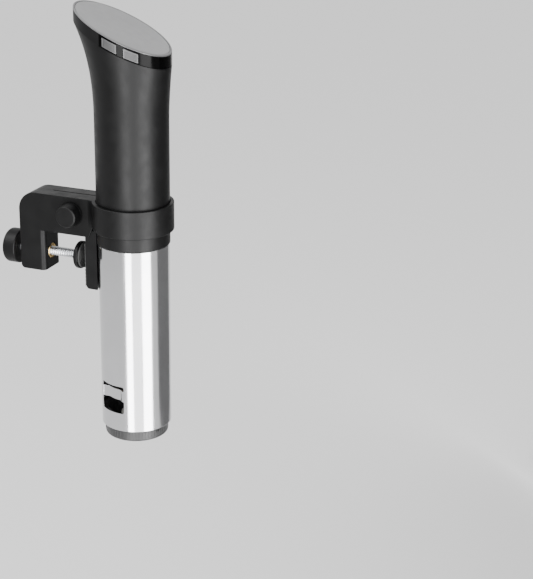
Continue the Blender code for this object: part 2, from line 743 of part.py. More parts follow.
def cooling_fan():
    bore = SHAFT_R + GAP
    item = tube("cooling_fan", FAN_HUB_R, bore, FAN_Z, FAN_Z + FAN_HEIGHT)
    tip_r = HOUSING_BORE_R - FAN_TIP_GAP
    root_r = (FAN_HUB_R + bore) / 2.0
    half_chord = FAN_HEIGHT / 2.0
    for angle, _, _ in ring_of_points(tip_r, FAN_BLADES):
        low = (root_r, -half_chord, -BLADE_THICK / 2.0)
        blade = block("fan_blade", low, (tip_r, half_chord, BLADE_THICK / 2.0))
        move_mesh(blade, Matrix.Rotation(FAN_PITCH, 4, "X"))
        lift = Matrix.Translation((0.0, 0.0, FAN_Z + FAN_HEIGHT / 2.0))
        join(item, move_mesh(blade, lift @ Matrix.Rotation(angle, 4, "Z")))
    return item


# ---- wet end ----------------------------------------------------------------------------------
def strap(name, middle):
    """Strap across a skirt window, pressed inwards between its lapped ends."""
    half = WINDOW_WIDTH / 2.0 + STRAP_LAP
    end_r = SKIRT_BORE_R - STRAP_OVERLAP + SKIRT_WALL
    outer = []
    inner = []
    for index in range(STRAP_STEPS + 1):
        offset = -half + 2.0 * half * index / STRAP_STEPS
        inward = min(max((half - STRAP_LAP - abs(offset)) / (WINDOW_WIDTH / 4.0), 0.0), 1.0)
        dish = STRAP_DISH * inward * inward * (3.0 - 2.0 * inward)
        direction = Vector((math.cos(middle + offset), math.sin(middle + offset)))
        outer.append(direction * (end_r - dish))
        inner.append(direction * (end_r - dish - SKIRT_WALL))
    item = plate(name, outer + list(reversed(inner)), STRAP_HEIGHT)
    height = SKIRT_BOTTOM_Z + WINDOW_RISE + STRAP_RISE + STRAP_HEIGHT / 2.0
    return move_mesh(item, Matrix.Translation((0.0, 0.0, height)))


def window_cutter(name, middle):
    """Wedge that opens a window in the skirt's wall."""
    low = SKIRT_BOTTOM_Z + WINDOW_RISE
    outline = []
    for radius, order in ((SKIRT_R + OVERSHOOT, 1.0), (SKIRT_BORE_R - OVERSHOOT, -1.0)):
        for index in range(PATCH_STEPS + 1):
            angle = middle + order * WINDOW_WIDTH * (index / PATCH_STEPS - 0.5)
            outline.append((radius * math.cos(angle), radius * math.sin(angle)))
    item = plate(name, outline, WINDOW_HEIGHT)
    return move_mesh(item, Matrix.Translation((0.0, 0.0, low + WINDOW_HEIGHT / 2.0)))


def skirt():
    item = tube("skirt", SKIRT_R, SKIRT_BORE_R, SKIRT_BOTTOM_Z, SKIRT_TOP_Z, LARGE_STEPS)
    for name, middle in WINDOW_ANGLES.items():
        cut(item, window_cutter(f"{name}_window", middle))
        join(item, strap(f"{name}_strap", middle))
    return item


def end_cap():
    spigot_r = SKIRT_BORE_R - GAP
    spigot_bore = CAP_R - CAP_WALL
    bottom = SKIRT_BOTTOM_Z - CAP_DROP
    top = SKIRT_BOTTOM_Z + CAP_SPIGOT
    profile = [
        (spigot_r, top), (spigot_r, SKIRT_BOTTOM_Z + GAP), (CAP_R, SKIRT_BOTTOM_Z - GAP),
        (CAP_R, bottom + CAP_CHAMFER), (CAP_R - CAP_CHAMFER, bottom), (0.0, bottom),
    ]
    inner = [(0.0, bottom + CAP_FLOOR), (spigot_bore, bottom + CAP_FLOOR), (spigot_bore, top)]
    item = turned("end_cap", inner + profile, LARGE_STEPS)
    for angle, _, _ in ring_of_points(CAP_SLOT_OUTER_R, CAP_SLOTS):
        half = CAP_SLOT_WIDTH / 2.0
        low = (CAP_SLOT_INNER_R, -half, bottom - OVERSHOOT)
        slot = block("cap_slot", low, (CAP_SLOT_OUTER_R, half, bottom + CAP_FLOOR + OVERSHOOT))
        cut(item, move_mesh(slot, Matrix.Rotation(angle, 4, "Z")))
    low = (CAP_R - NOTCH_DEPTH, -NOTCH_WIDTH / 2.0, SKIRT_BOTTOM_Z - NOTCH_HEIGHT)
    notch = block("notch", low, (CAP_R + OVERSHOOT, NOTCH_WIDTH / 2.0, SKIRT_BOTTOM_Z - GAP))
    cut(item, move_mesh(notch, Matrix.Rotation(NOTCH_ANGLE, 4, "Z")))
    return item


def heater_coil():
    """Sheathed element: a leg down, the turns, and a leg back up."""
    points = []
    count = round(COIL_TURN_POINTS * COIL_TURNS)
    low_angle = COIL_START_ANGLE
    for index in range(count + 1):
        angle = low_angle + math.tau * COIL_TURNS * index / count
        height = COIL_LOW_Z + COIL_PITCH * COIL_TURNS * index / count
        points.append(Vector((COIL_R * math.cos(angle), COIL_R * math.sin(angle), height)))
    leg_top = SPIGOT_BOTTOM_Z + LEG_SOCKET
    inside = COIL_R - 2.0 * COIL_TUBE_R - COIL_TAIL_GAP
    first = points[0]
    low_radial = Vector((math.cos(low_angle), math.sin(low_angle), 0.0))
    low_tangent = Vector((-math.sin(low_angle), math.cos(low_angle), 0.0))
    rise = Vector((0.0, 0.0, 1.0))
    dive = first - (low_tangent * COIL_DIVE_BACK + low_radial * COIL_DIVE_IN) * COIL_TUBE_R
    inner_place = low_radial * inside - low_tangent * COIL_TAIL_BACK * COIL_TUBE_R
    inner_foot = inner_place + rise * (first.z + COIL_TUBE_R)
    clear_z = COIL_HIGH_Z + COIL_TAIL_RISE
    inner_top = inner_place + rise * clear_z
    leg_in_foot = low_radial * COIL_R + rise * (clear_z + COIL_TAIL_RISE)
    leg_in_top = low_radial * COIL_R + rise * leg_top
    end_angle = low_angle + math.tau * COIL_TURNS
    end_radial = Vector((math.cos(end_angle), math.sin(end_angle), 0.0))
    end_tangent = Vector((-math.sin(end_angle), math.cos(end_angle), 0.0))
    last = points[-1]
    bend = last + (end_tangent + rise) * COIL_TUBE_R
    leg_out_foot = end_radial * COIL_R + rise * (last.z + COIL_TAIL_RISE)
    leg_out_top = end_radial * COIL_R + rise * leg_top
    points = [leg_in_top, leg_in_foot, inner_top, inner_foot, dive] + points
    points += [bend, leg_out_foot, leg_out_top]
    curve = bpy.data.curves.new("heater_coil", "CURVE")
    curve.dimensions = "3D"
    curve.bevel_depth = COIL_TUBE_R
    curve.bevel_resolution = 2
    curve.use_fill_caps = True
    spline = curve.splines.new("POLY")
    spline.points.add(len(points) - 1)
    for point, place in zip(spline.points, points):
        point.co = (*place, 1.0)
    return settle(new_object("heater_coil", curve))


def hanging_rod(name, position, radius, low):
    """Probe or level rod: a round-ended rod that hangs from the bulkhead."""
    top = SPIGOT_BOTTOM_Z + LEG_SOCKET
    tip = radius / 2.0
    profile = [(0.0, top), (radius, top), (radius, low + tip), (tip, low), (0.0, low)]
    item = turned(name, profile, DRILL_STEPS)
    reach, angle = position
    item.location = (reach * math.cos(angle), reach * math.sin(angle), 0.0)
    return item


def shaft_guide():
    top = SPIGOT_BOTTOM_Z - GAP
    bottom = GUIDE_BOTTOM_Z
    outer = GUIDE_BORE_R + GUIDE_WALL
    profile = [
        (GUIDE_FLANGE_R, top), (GUIDE_FLANGE_R, top - GUIDE_FLANGE), (outer, top - GUIDE_FLANGE),
        (outer, bottom), (GUIDE_BORE_R, bottom), (GUIDE_BORE_R, top),
    ]
    return turned("shaft_guide", profile, SMALL_STEPS, bored=True)


def shaft_bush():
    bottom = GUIDE_BOTTOM_Z - GAP
    bore = SHAFT_R + GAP
    inside = GUIDE_BORE_R - GAP
    flange_r = GUIDE_BORE_R + GUIDE_WALL
    profile = [
        (inside, bottom + BUSH_LENGTH), (inside, bottom), (flange_r, bottom),
        (flange_r, bottom - BUSH_FLANGE), (bore, bottom - BUSH_FLANGE), (bore, bottom + BUSH_LENGTH),
    ]
    return turned("shaft_bush", profile, SMALL_STEPS, bored=True)


def impeller():
    """Backplate, hub and blades; the shaft ends in the hub."""
    bore = SHAFT_R + GAP
    hub_r = IMPELLER_HUB * SHAFT_R
    top = IMPELLER_Z + IMPELLER_HEIGHT
    plate_top = IMPELLER_Z + IMPELLER_PLATE
    profile = [
        (0.0, plate_top), (bore, plate_top), (bore, top), (hub_r, top), (hub_r, plate_top),
        (IMPELLER_R, plate_top), (IMPELLER_R, IMPELLER_Z), (0.0, IMPELLER_Z),
    ]
    item = turned("impeller", profile, SMALL_STEPS)
    for angle, _, _ in ring_of_points(IMPELLER_R, IMPELLER_BLADES):
        low = ((bore + hub_r) / 2.0, -BLADE_THICK / 2.0, IMPELLER_Z + IMPELLER_PLATE / 2.0)
        high = (IMPELLER_R - BLADE_THICK, BLADE_THICK / 2.0, top - BLADE_THICK)
        join(item, move_mesh(block("impeller_blade", low, high), Matrix.Rotation(angle, 4, "Z")))
    return item


# ---- clamp ------------------------------------------------------------------------------------
def clamp_body():
    """Split ring, arm and both jaws in one moulding."""
    item = arm_plate()
    insert_r = CLAMP_SCREW_R + GAP + INSERT_WALL
    insert_hole = rod("insert_hole", insert_r + GAP, -OVERSHOOT, OUTER_JAW_THICK + OVERSHOOT)
    move_mesh(insert_hole, clamp_screw_matrix(ARM_END_X))
    reach = ARM_WIDTH / 2.0 + OVERSHOOT
    screw_hole = move_mesh(rod("screw_hole", RING_SCREW_R + GAP, -reach, reach), ring_screw_matrix())
    cut(item, insert_hole, screw_hole, nut_pocket())
    join(item, ring_plate(), fixed_jaw_block())
    low_lip = -RING_HEIGHT + LINER_LIP
    bore_end = ARM_UNDER_Z - FIXED_JAW_DROP - OVERSHOOT
    profile = [
        (0.0, OVERSHOOT), (LIP_R, OVERSHOOT), (LIP_R, -LINER_LIP),
        (GROOVE_R, -LINER_LIP), (GROOVE_R, low_lip), (LIP_R, low_lip),
        (LIP_R, bore_end), (0.0, bore_end),
    ]
    bore = turned("ring_bore", profile, LARGE_STEPS)
    half_slot = SLOT_WIDTH / 2.0
    slot_low = (SLOT_END_X, -half_slot, ARM_UNDER_Z - SLOT_WIDTH)
    slot = block("split", slot_low, (0.0, half_slot, OVERSHOOT))
    cut(item, bore, slot)
    return item


def arm_plate():
    """Arm with the outer jaw, drawn from the side."""
    under = ARM_UNDER_Z
    jaw_bottom = ARM_UNDER_Z - OUTER_JAW_DROP
    corner = OUTER_JAW_CORNER
    inside_x = -(LIP_R - OVERSHOOT)
    corners = [
        (inside_x, -RING_HEIGHT / 2.0, 0.0),
        (inside_x, 0.0, 0.0),
        (ARM_END_X, 0.0, ARM_CORNER_R),
        (ARM_END_X, jaw_bottom + corner, 0.0),
        (ARM_END_X + corner, jaw_bottom, 0.0),
        (OUTER_JAW_X, jaw_bottom, corner / 2.0),
        (OUTER_JAW_X, under, corner / 3.0),
        (JAW_FACE_X + JAW_OFFSET / 2.0, under, 0.0),
        (inside_x - OVERSHOOT, -RING_HEIGHT + GAP, 0.0),
        (inside_x, -RING_HEIGHT + GAP, 0.0),
    ]
    item = plate("clamp_body", rounded(corners), ARM_WIDTH)
    return move_mesh(item, Matrix.Rotation(math.radians(90.0), 4, "X"))


def ring_plate():
    """The ring before it is bored, with a fillet on each side where it meets the arm."""
    fillet_y = ARM_WIDTH / 2.0 + ARM_FILLET_R
    fillet_x = -math.sqrt((RING_R + ARM_FILLET_R) ** 2 - fillet_y ** 2)
    meet = math.atan2(fillet_y, fillet_x)
    outline = []
    for index in range(LARGE_STEPS + 1):
        angle = meet * (2.0 * index / LARGE_STEPS - 1.0)
        outline.append((RING_R * math.cos(angle), RING_R * math.sin(angle)))
    start = meet - math.pi
    fillet = []
    for index in range(1, ARC_STEPS + 1):
        angle = start - (math.pi / 2.0 + start) * index / ARC_STEPS
        x = fillet_x + ARM_FILLET_R * math.cos(angle)
        fillet.append((x, fillet_y + ARM_FILLET_R * math.sin(angle)))
    outline += fillet + [(x, -y) for x, y in reversed(fillet)]
    item = plate("ring_plate", outline, RING_HEIGHT)
    return move_mesh(item, Matrix.Translation((0.0, 0.0, -RING_HEIGHT / 2.0)))


def fixed_jaw_block():
    """Thick jaw drawn from the side; the ring's bore then hollows its back round the tube."""
    low = ARM_UNDER_Z - FIXED_JAW_DROP
    high = ARM_UNDER_Z + JAW_ROOT
    inside_x = -(LIP_R - OVERSHOOT)
    corners = [
        (inside_x, high, 0.0), (JAW_FACE_X, high, 0.0),
        (JAW_FACE_X, low, FIXED_JAW_CORNER_R), (inside_x, low, 0.0),
    ]
    item = plate("fixed_jaw", rounded(corners), FIXED_JAW_WIDTH)
    return move_mesh(item, Matrix.Rotation(math.radians(90.0), 4, "X"))


def clamp_screw_matrix(x):
    """Turns local Z along +X on the clamp screw's axis."""
    return Matrix.Translation((x, 0.0, CLAMP_SCREW_Z)) @ Matrix.Rotation(math.radians(90.0), 4, "Y")


def ring_screw_matrix():
    """Turns local Z along -Y, towards the user, on the ring screw's axis."""
    place = Matrix.Translation((RING_SCREW_X, 0.0, RING_SCREW_Z))
    return place @ Matrix.Rotation(math.radians(90.0), 4, "X")


def hexagon(across):
    radius = across / math.sqrt(3.0)
    return [(x, y) for _, x, y in ring_of_points(radius, HEX_SIDES)]


def nut_pocket():
    depth = NUT_RECESS + NUT_THICK + GAP
    item = plate("nut_pocket", hexagon(NUT_ACROSS + 2.0 * GAP), depth + OVERSHOOT)
    middle = -(ARM_WIDTH / 2.0) + (depth - OVERSHOOT) / 2.0
    return move_mesh(item, ring_screw_matrix() @ Matrix.Translation((0.0, 0.0, middle)))


def ring_nut():
    item = plate("ring_nut", hexagon(NUT_ACROSS), NUT_THICK)
    cut(item, rod("nut_bore", RING_SCREW_R + GAP, -NUT_THICK, NUT_THICK))
    item.matrix_world = ring_screw_matrix() @ Matrix.Translation(
        (0.0, 0.0, -ARM_WIDTH / 2.0 + NUT_RECESS + NUT_THICK / 2.0)
    )
    return item


def jaw_pad():
    half = PAD_WIDTH / 2.0
    low = (PAD_FACE_X, -half, PAD_CENTRE_Z - PAD_HEIGHT / 2.0)
    return block("jaw_pad", low, (PAD_FACE_X + PAD_THICK, half, PAD_CENTRE_Z + PAD_HEIGHT / 2.0))


def ring_liner():
    low = -RING_HEIGHT + LINER_LIP + GAP
    return tube("ring_liner", LINER_R, LINER_BORE_R, low, -LINER_LIP - GAP, LARGE_STEPS)


def screw_insert():
    bore = CLAMP_SCREW_R + GAP
    item = tube("screw_insert", bore + INSERT_WALL, bore, 0.0, OUTER_JAW_THICK)
    item.matrix_world = clamp_screw_matrix(ARM_END_X)
    return item


def foot_back_x():
    return FOOT_FACE_X - FOOT_PAD_THICK - GAP - FOOT_THICK


def clamp_screw():
    start = ARM_END_X - KNOB_GAP - KNOB_SOCKET
    end = foot_back_x() + FOOT_SOCKET - GAP
    item = rod("clamp_screw", CLAMP_SCREW_R, 0.0, end - start)
    item.matrix_world = clamp_screw_matrix(start)
    return item


def quarter_round(radius, height, edge, top):
    """Profile points that round a turned piece's edge, running down its outside."""
    points = []
    for index in range(EDGE_STEPS + 1):
        angle = math.pi / 2.0 * index / EDGE_STEPS
        if not top:
            angle = -angle
        x = radius - edge + edge * (math.sin(angle) if top else math.cos(angle))
        y = height + (edge * math.cos(angle) - edge if top else edge + edge * math.sin(angle))
        points.append((x, y))
    return points


def clamp_knob():
    """Round knob with a blind bore for the screw; local z = 0 is its inner face."""
    bore = CLAMP_SCREW_R + GAP
    floor = -KNOB_SOCKET - GAP
    profile = [(0.0, floor), (bore, floor), (bore, 0.0)]
    profile += quarter_round(KNOB_R, 0.0, KNOB_EDGE_R / 2.0, top=True)
    profile += quarter_round(KNOB_R, -KNOB_THICK, KNOB_EDGE_R, top=False)
    profile.append((0.0, -KNOB_THICK))
    item = turned("clamp_knob", profile, MEDIUM_STEPS)
    item.matrix_world = clamp_screw_matrix(ARM_END_X - KNOB_GAP)
    return item


def pressure_foot():
    bore = CLAMP_SCREW_R + GAP
    profile = [
        (0.0, FOOT_THICK), (FOOT_R, FOOT_THICK), (FOOT_R, (1.0 - FOOT_RIM) * FOOT_THICK),
        (FOOT_BACK * FOOT_R, 0.0), (bore, 0.0), (bore, FOOT_SOCKET), (0.0, FOOT_SOCKET),
    ]
    item = turned("pressure_foot", profile, MEDIUM_STEPS)
    item.matrix_world = clamp_screw_matrix(foot_back_x())
    return item


def foot_pad():
    item = rod("foot_pad", FOOT_PAD_R, 0.0, FOOT_PAD_THICK, MEDIUM_STEPS)
    item.matrix_world = clamp_screw_matrix(FOOT_FACE_X - FOOT_PAD_THICK)
    return item


def ring_washer():
    low = ARM_WIDTH / 2.0 + GAP
    item = tube("ring_washer", WASHER_R, RING_SCREW_R + GAP, low, low + WASHER_THICK, MEDIUM_STEPS)
    item.matrix_world = ring_screw_matrix()
    return item


def ring_knob():
    low = ARM_WIDTH / 2.0 + GAP + WASHER_THICK + GAP
    top = low + RING_KNOB_THICK
    bore = RING_SCREW_R + GAP
    floor = low + RING_KNOB_SOCKET + GAP
    profile = [(0.0, top)] + quarter_round(RING_KNOB_R, top, RING_KNOB_EDGE_R, top=True)
    profile += [(RING_KNOB_BASE_R, low), (bore, low), (bore, floor), (0.0, floor)]
    item = turned("ring_knob", profile, MEDIUM_STEPS)
    item.matrix_world = ring_screw_matrix()
    return item


def ring_screw():
    low = -ARM_WIDTH / 2.0 + NUT_RECESS - SCREW_TAIL
    high = ARM_WIDTH / 2.0 + 2.0 * GAP + WASHER_THICK + RING_KNOB_SOCKET
    item = rod("ring_screw", RING_SCREW_R, low, high)
    item.matrix_world = ring_screw_matrix()
    return item


# ---- build ------------------------------------------------------------------------------------
def make_materials():
    return {
        "matte_black": new_material("matte_black", (0.030, 0.030, 0.032), 0.48),
        "gloss_black": new_material("gloss_black", (0.008, 0.008, 0.009), 0.12),
        "display_grey": new_material("display_grey", (0.40, 0.40, 0.41), 0.35),
        "vent_grey": new_material("vent_grey", (0.38, 0.38, 0.39), 0.45),
        "steel": new_material("steel", (0.62, 0.62, 0.63), 0.18, 1.0),
        "zinc": new_material("zinc", (0.55, 0.56, 0.58), 0.35, 1.0),
        "brass": new_material("brass", (0.70, 0.52, 0.24), 0.30, 1.0),
        "rubber": new_material("rubber", (0.018, 0.018, 0.018), 0.75),
        "cap_grey": new_material("cap_grey", (0.17, 0.17, 0.175), 0.55),
        "white_plastic": new_material("white_plastic", (0.70, 0.70, 0.67), 0.45),
        "board_green": new_material("board_green", (0.02, 0.16, 0.06), 0.45),
        "component": new_material("component", (0.05, 0.05, 0.09), 0.40),
    }


def build_circulator(paint, axis):
    finish(head_housing(), paint["matte_black"], axis)
    finish(trim_band(), paint["gloss_black"], axis)
    finish(display_bezel(), paint["display_grey"], axis)
    finish(display_lens(), paint["display_grey"], axis)
    for side, hand in ((-1.0, "near"), (1.0, "far")):
        for place in GRILLE_SPANS:
            finish(vent_grille(f"vent_grille_{hand}_{place}", side, place), paint["vent_grey"], axis)
    finish(display_board(), paint["board_green"], axis)
    finish(power_board(), paint["board_green"], axis)
    low = POWER_BOARD_BOTTOM_Z + BOARD_EDGE
    finish(on_board("transformer", TRANSFORMER, 0.0, low), paint["component"], axis)
    relay_z = low + TRANSFORMER[2] + BOARD_EDGE
    finish(on_board("heater_relay", RELAY, 0.0, relay_z), paint["component"], axis)
    finish(filter_capacitor(), paint["component"], axis)
    finish(cord_gland(), paint["rubber"], axis)
    finish(bulkhead(), paint["white_plastic"], axis)
    finish(motor(), paint["zinc"], axis)
    for index, (_, x, y) in enumerate(motor_screw_places(), start=1):
        finish(motor_screw(f"motor_screw_{index}", x, y), paint["zinc"], axis)
    finish(shaft_seal(), paint["rubber"], axis)
    finish(shaft_guide(), paint["steel"], axis)
    finish(shaft_bush(), paint["white_plastic"], axis)
    finish(heater_coil(), paint["steel"], axis)
    finish(hanging_rod("temperature_probe", PROBE_POSITION, PROBE_R, PROBE_END_Z), paint["steel"], axis)
    finish(hanging_rod("low_level_rod", LOW_ROD_POSITION, ROD_R, LOW_ROD_END_Z), paint["steel"], axis)
    finish(hanging_rod("high_level_rod", HIGH_ROD_POSITION, ROD_R, HIGH_ROD_END_Z), paint["steel"], axis)


def build_rotor(paint, axis):
    finish(motor_shaft(), paint["steel"], axis)
    finish(cooling_fan(), paint["white_plastic"], axis)
    finish(impeller(), paint["white_plastic"], axis)


def build_skirt(paint, axis):
    finish(skirt_o_ring(), paint["rubber"], axis)
    finish(skirt(), paint["steel"], axis)
    finish(end_cap(), paint["cap_grey"], axis)


def build_clamp(paint, axis):
    finish(clamp_body(), paint["matte_black"], axis)
    finish(jaw_pad(), paint["rubber"], axis)
    finish(ring_liner(), paint["rubber"], axis)
    finish(screw_insert(), paint["brass"], axis)
    finish(clamp_screw(), paint["zinc"], axis)
    finish(clamp_knob(), paint["matte_black"], axis)
    finish(pressure_foot(), paint["matte_black"], axis)
    finish(foot_pad(), paint["rubber"], axis)
    finish(ring_screw(), paint["zinc"], axis)
    finish(ring_knob(), paint["matte_black"], axis)
    finish(ring_washer(), paint["matte_black"], axis)
    finish(ring_nut(), paint["zinc"], axis)


def main():
    paint = make_materials()
    axis = bpy.data.objects.new("tube_axis", None)
    PARTS.objects.link(axis)
    axis.location = (-PAD_FACE_X, 0.0, -PAD_CENTRE_Z)
    build_clamp(paint, axis)
    build_circulator(paint, axis)
    build_rotor(paint, axis)
    build_skirt(paint, axis)


clear_scene()
PARTS = new_collection("sous_vide_circulator")
main()
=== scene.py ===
"""Looks of the sous vide circulator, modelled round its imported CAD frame."""
import json
import math

import bpy
from bpy.props import FloatProperty, FloatVectorProperty, IntProperty, PointerProperty
from bpy.types import Operator, Panel, PropertyGroup
from mathutils import Matrix, Vector


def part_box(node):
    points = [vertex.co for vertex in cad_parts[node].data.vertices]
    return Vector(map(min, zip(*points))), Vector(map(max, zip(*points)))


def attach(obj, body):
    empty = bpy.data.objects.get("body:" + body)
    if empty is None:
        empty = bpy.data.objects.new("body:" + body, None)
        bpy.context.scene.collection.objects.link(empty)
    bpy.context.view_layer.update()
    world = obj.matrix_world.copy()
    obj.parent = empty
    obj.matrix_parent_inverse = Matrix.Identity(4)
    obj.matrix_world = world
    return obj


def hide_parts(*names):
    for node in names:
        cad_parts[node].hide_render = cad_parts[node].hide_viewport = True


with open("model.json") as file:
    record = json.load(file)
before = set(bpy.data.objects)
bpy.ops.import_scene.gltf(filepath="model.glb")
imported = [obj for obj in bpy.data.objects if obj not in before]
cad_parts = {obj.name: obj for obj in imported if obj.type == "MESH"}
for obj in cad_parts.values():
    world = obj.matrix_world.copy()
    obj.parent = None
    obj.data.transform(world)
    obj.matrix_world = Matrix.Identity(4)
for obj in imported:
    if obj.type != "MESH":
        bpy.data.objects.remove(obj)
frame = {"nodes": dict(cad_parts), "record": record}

bl_info = {
    "name": "Sous vide circulator",
    "version": (1, 0, 0),
    "blender": (4, 5, 0),
    "location": "3D View > Sidebar > Circulator",
    "description": "Models the clamp, skirt, heater and head of an immersion circulator",
    "category": "Object",
}

MM = 0.001


# ---- places read from the frame ---------------------------------------------------------------
def low(node):
    return Vector(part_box(node)[0])


def high(node):
    return Vector(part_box(node)[1])


def middle(node):
    return (low(node) + high(node)) / 2.0


def size(node):
    return high(node) - low(node)


AXIS_X = middle("skirt").x
RING_TOP = high("clamp_body").z
UP = Vector((0.0, 0.0, 1.0))
OUT = Vector((-1.0, 0.0, 0.0))
USER = Vector((0.0, -1.0, 0.0))

CLOSE = 0.01 * MM
FIT = 0.3 * MM
NUT_ACROSS = 10.0 * MM
NUT_POCKET = 5.9 * MM
NUT_BORE_R = 3.2 * MM
RING_SCREW_HOLE_R = 3.3 * MM
GLAND_HOLE_R = 5.3 * MM
ARM_CORNER_R = 16.0 * MM
ARM_FILLET_R = 8.0 * MM
SLOT_HALF = 0.7 * MM
WINDOW_HALF_ANGLE = math.radians(25.5)
WINDOW_ANGLES = (math.radians(-110.0), math.radians(70.0))
WINDOW_RISE = 16.5 * MM
WINDOW_HEIGHT = 25.0 * MM
STRAP_RISE = 10.6 * MM
STRAP_HEIGHT = 9.8 * MM
CAP_INSET = 2.8 * MM
CAP_FLOOR = 2.2 * MM
CAP_SLOTS = 6
HOUSING_WALL = 2.4 * MM
TRIM_THICK = 1.2 * MM
BEZEL_THICK = 0.9 * MM
BEZEL_WIDTH = 1.5 * MM
LOUVRES = 6
COIL_TUBE_R = 3.2 * MM
COIL_TURNS = 2.5
COIL_PITCH = 10.5 * MM
COIL_RISE = 22.0 * MM
BLADES = 5


# ---- settings ---------------------------------------------------------------------------------
class ClampSettings(PropertyGroup):
    edge: FloatProperty(
        name="Edge", description="Rounding of the moulding's edges", default=0.7 * MM, unit="LENGTH",
    )
    jaw_corner: FloatProperty(
        name="Jaw corner", description="Rounding of the outer jaw's upright throat edges", default=4.4 * MM,
        unit="LENGTH"
    )
    pitch: FloatProperty(
        name="Pitch", description="Lead of the clamp screw's thread", default=2.0 * MM, unit="LENGTH",
    )
    ring_pitch: FloatProperty(
        name="Ring pitch", description="Lead of the ring screw's thread", default=1.25 * MM, unit="LENGTH"
    )
    black: FloatVectorProperty(
        name="Black", description="Colour of the matte mouldings", default=(0.0014, 0.0014, 0.0016),
        subtype="COLOR"
    )


class SkirtSettings(PropertyGroup):
    wall: FloatProperty(name="Wall", description="Thickness of the sheet", default=0.8 * MM, unit="LENGTH")
    corner: FloatProperty(
        name="Corner", description="Rounding of the windows' corners", default=1.6 * MM, unit="LENGTH",
    )
    dish: FloatProperty(
        name="Dish", description="How far each strap is pressed inwards", default=3.6 * MM, unit="LENGTH",
    )
    ribs: IntProperty(name="Ribs", description="Grip ribs round the end cap", default=60)
    steel: FloatVectorProperty(
        name="Steel", description="Colour of the polished steel", default=(0.48, 0.48, 0.49), subtype="COLOR"
    )


class StageSettings(PropertyGroup):
    floor_drop: FloatProperty(
        name="Floor drop", description="From the end cap to the floor", default=0.45, unit="LENGTH"
    )
    sky: FloatProperty(name="Sky", description="Strength of the even light", default=1.25)
    key: FloatProperty(name="Key", description="Power of the soft key light in watts", default=26.0)
    strip: FloatProperty(
        name="Strip", description="Glow of the upright strip lights in watts per m2", default=60.0,
    )


# ---- modelling --------------------------------------------------------------------------------
def clear_selection():
    if bpy.context.object and bpy.context.object.mode != "OBJECT":
        bpy.ops.object.mode_set(mode="OBJECT")
    bpy.ops.object.select_all(action="DESELECT")


def pick(*items):
    clear_selection()
    for item in items:
        item.select_set(True)
    bpy.context.view_layer.objects.active = items[0]
    return items[0]


def edit(item):
    pick(item)
    bpy.ops.object.mode_set(mode="EDIT")


def select_all():
    bpy.ops.mesh.select_all(action="SELECT")


def leave():
    bpy.ops.object.mode_set(mode="OBJECT")


def leave_outward():
    """Points every face outwards and goes back to object mode."""
    select_all()
    bpy.ops.mesh.normals_make_consistent(inside=False)
    leave()


def apply(item, kind, **settings):
    """Adds one modifier and applies it."""
    pick(item)
    step = item.modifiers.new(kind.title(), kind)
    for name, value in settings.items():
        setattr(step, name, value)
    bpy.ops.object.modifier_apply(modifier=step.name)
    return item


def settle(item):
    """Puts the piece's place into its mesh."""
    pick(item)
    bpy.ops.object.transform_apply(location=True, rotation=True, scale=True)
    return item


def place(item, matrix):
    item.matrix_world = matrix
    return settle(item)


def chain(name, points, closed):
    """Draws a line of edges through the points by extruding one vertex."""
    clear_selection()
    bpy.ops.mesh.primitive_plane_add(size=1.0 * MM, location=points[0])
    item = bpy.context.object
    item.name = name
    settle(item)
    edit(item)
    bpy.ops.mesh.select_mode(type="VERT")
    select_all()
    bpy.ops.mesh.merge(type="CENTER")
    here = Vector(points[0])
    rest = list(points[1:]) + ([points[0]] if closed else [])
    for point in rest:
        step = Vector(point) - here
        bpy.ops.mesh.extrude_region_move(TRANSFORM_OT_translate={"value": step})
        here = Vector(point)
    if closed:
        select_all()
        bpy.ops.mesh.remove_doubles(threshold=1e-7)
    leave()
    return item


def slab(name, points, reach):
    """Closed outline filled and extruded by a vector."""
    item = chain(name, points, closed=True)
    edit(item)
    select_all()
    bpy.ops.mesh.edge_face_add()
    bpy.ops.mesh.extrude_region_move(TRANSFORM_OT_translate={"value": reach})
    leave_outward()
    return item


def turned(name, profile, steps=96):
    """Piece turned about the world's Z axis from (radius, height) points."""
    touches = profile[0][0] < 1e-9 and profile[-1][0] < 1e-9
    item = chain(name, [(max(r, 0.0), 0.0, z) for r, z in profile], closed=not touches)
    edit(item)
    select_all()
    bpy.ops.mesh.spin(steps=steps, angle=math.tau, center=(0.0, 0.0, 0.0), axis=(0.0, 0.0, 1.0))
    select_all()
    bpy.ops.mesh.remove_doubles(threshold=1e-7)
    bpy.ops.mesh.normals_make_consistent(inside=False)
    leave()
    return item


def soften(item, width, segments=3, angle=35.0):
    """Rounds the sharp edges and keeps the flats flat."""
    apply(
        item, "BEVEL", width=width, segments=segments, limit_method="ANGLE",
        angle_limit=math.radians(angle), use_clamp_overlap=True, miter_outer="MITER_ARC",
    )
    return item


def shade(item, angle=32.0, weighted=True):
    pick(item)
    bpy.ops.object.shade_smooth_by_angle(angle=math.radians(angle))
    if weighted:
        apply(item, "WEIGHTED_NORMAL", keep_sharp=True)
    return item


def boolean(item, other, operation):
    apply(item, "BOOLEAN", object=other, operation=operation, solver="MANIFOLD")
    pick(other)
    bpy.ops.object.delete()
    return item


def fuse(name, *items):
    """Several shapes in one piece."""
    pick(*items)
    bpy.ops.object.join()
    items[0].name = name
    return items[0]


def copy_of(item):
    pick(item)
    bpy.ops.object.duplicate(linked=False)
    return bpy.context.object


def spread(name, item, count):
    """Copies a piece round the world's upright axis and joins the copies."""
    items = [item]
    for index in range(1, count):
        items.append(place(copy_of(item), Matrix.Rotation(math.tau * index / count, 4, "Z")))
    return fuse(name, *items)


def to_axis(item):
    """Moves a piece made round the world's Z axis onto the tube's axis."""
    return place(item, Matrix.Translation((AXIS_X, 0.0, 0.0)))


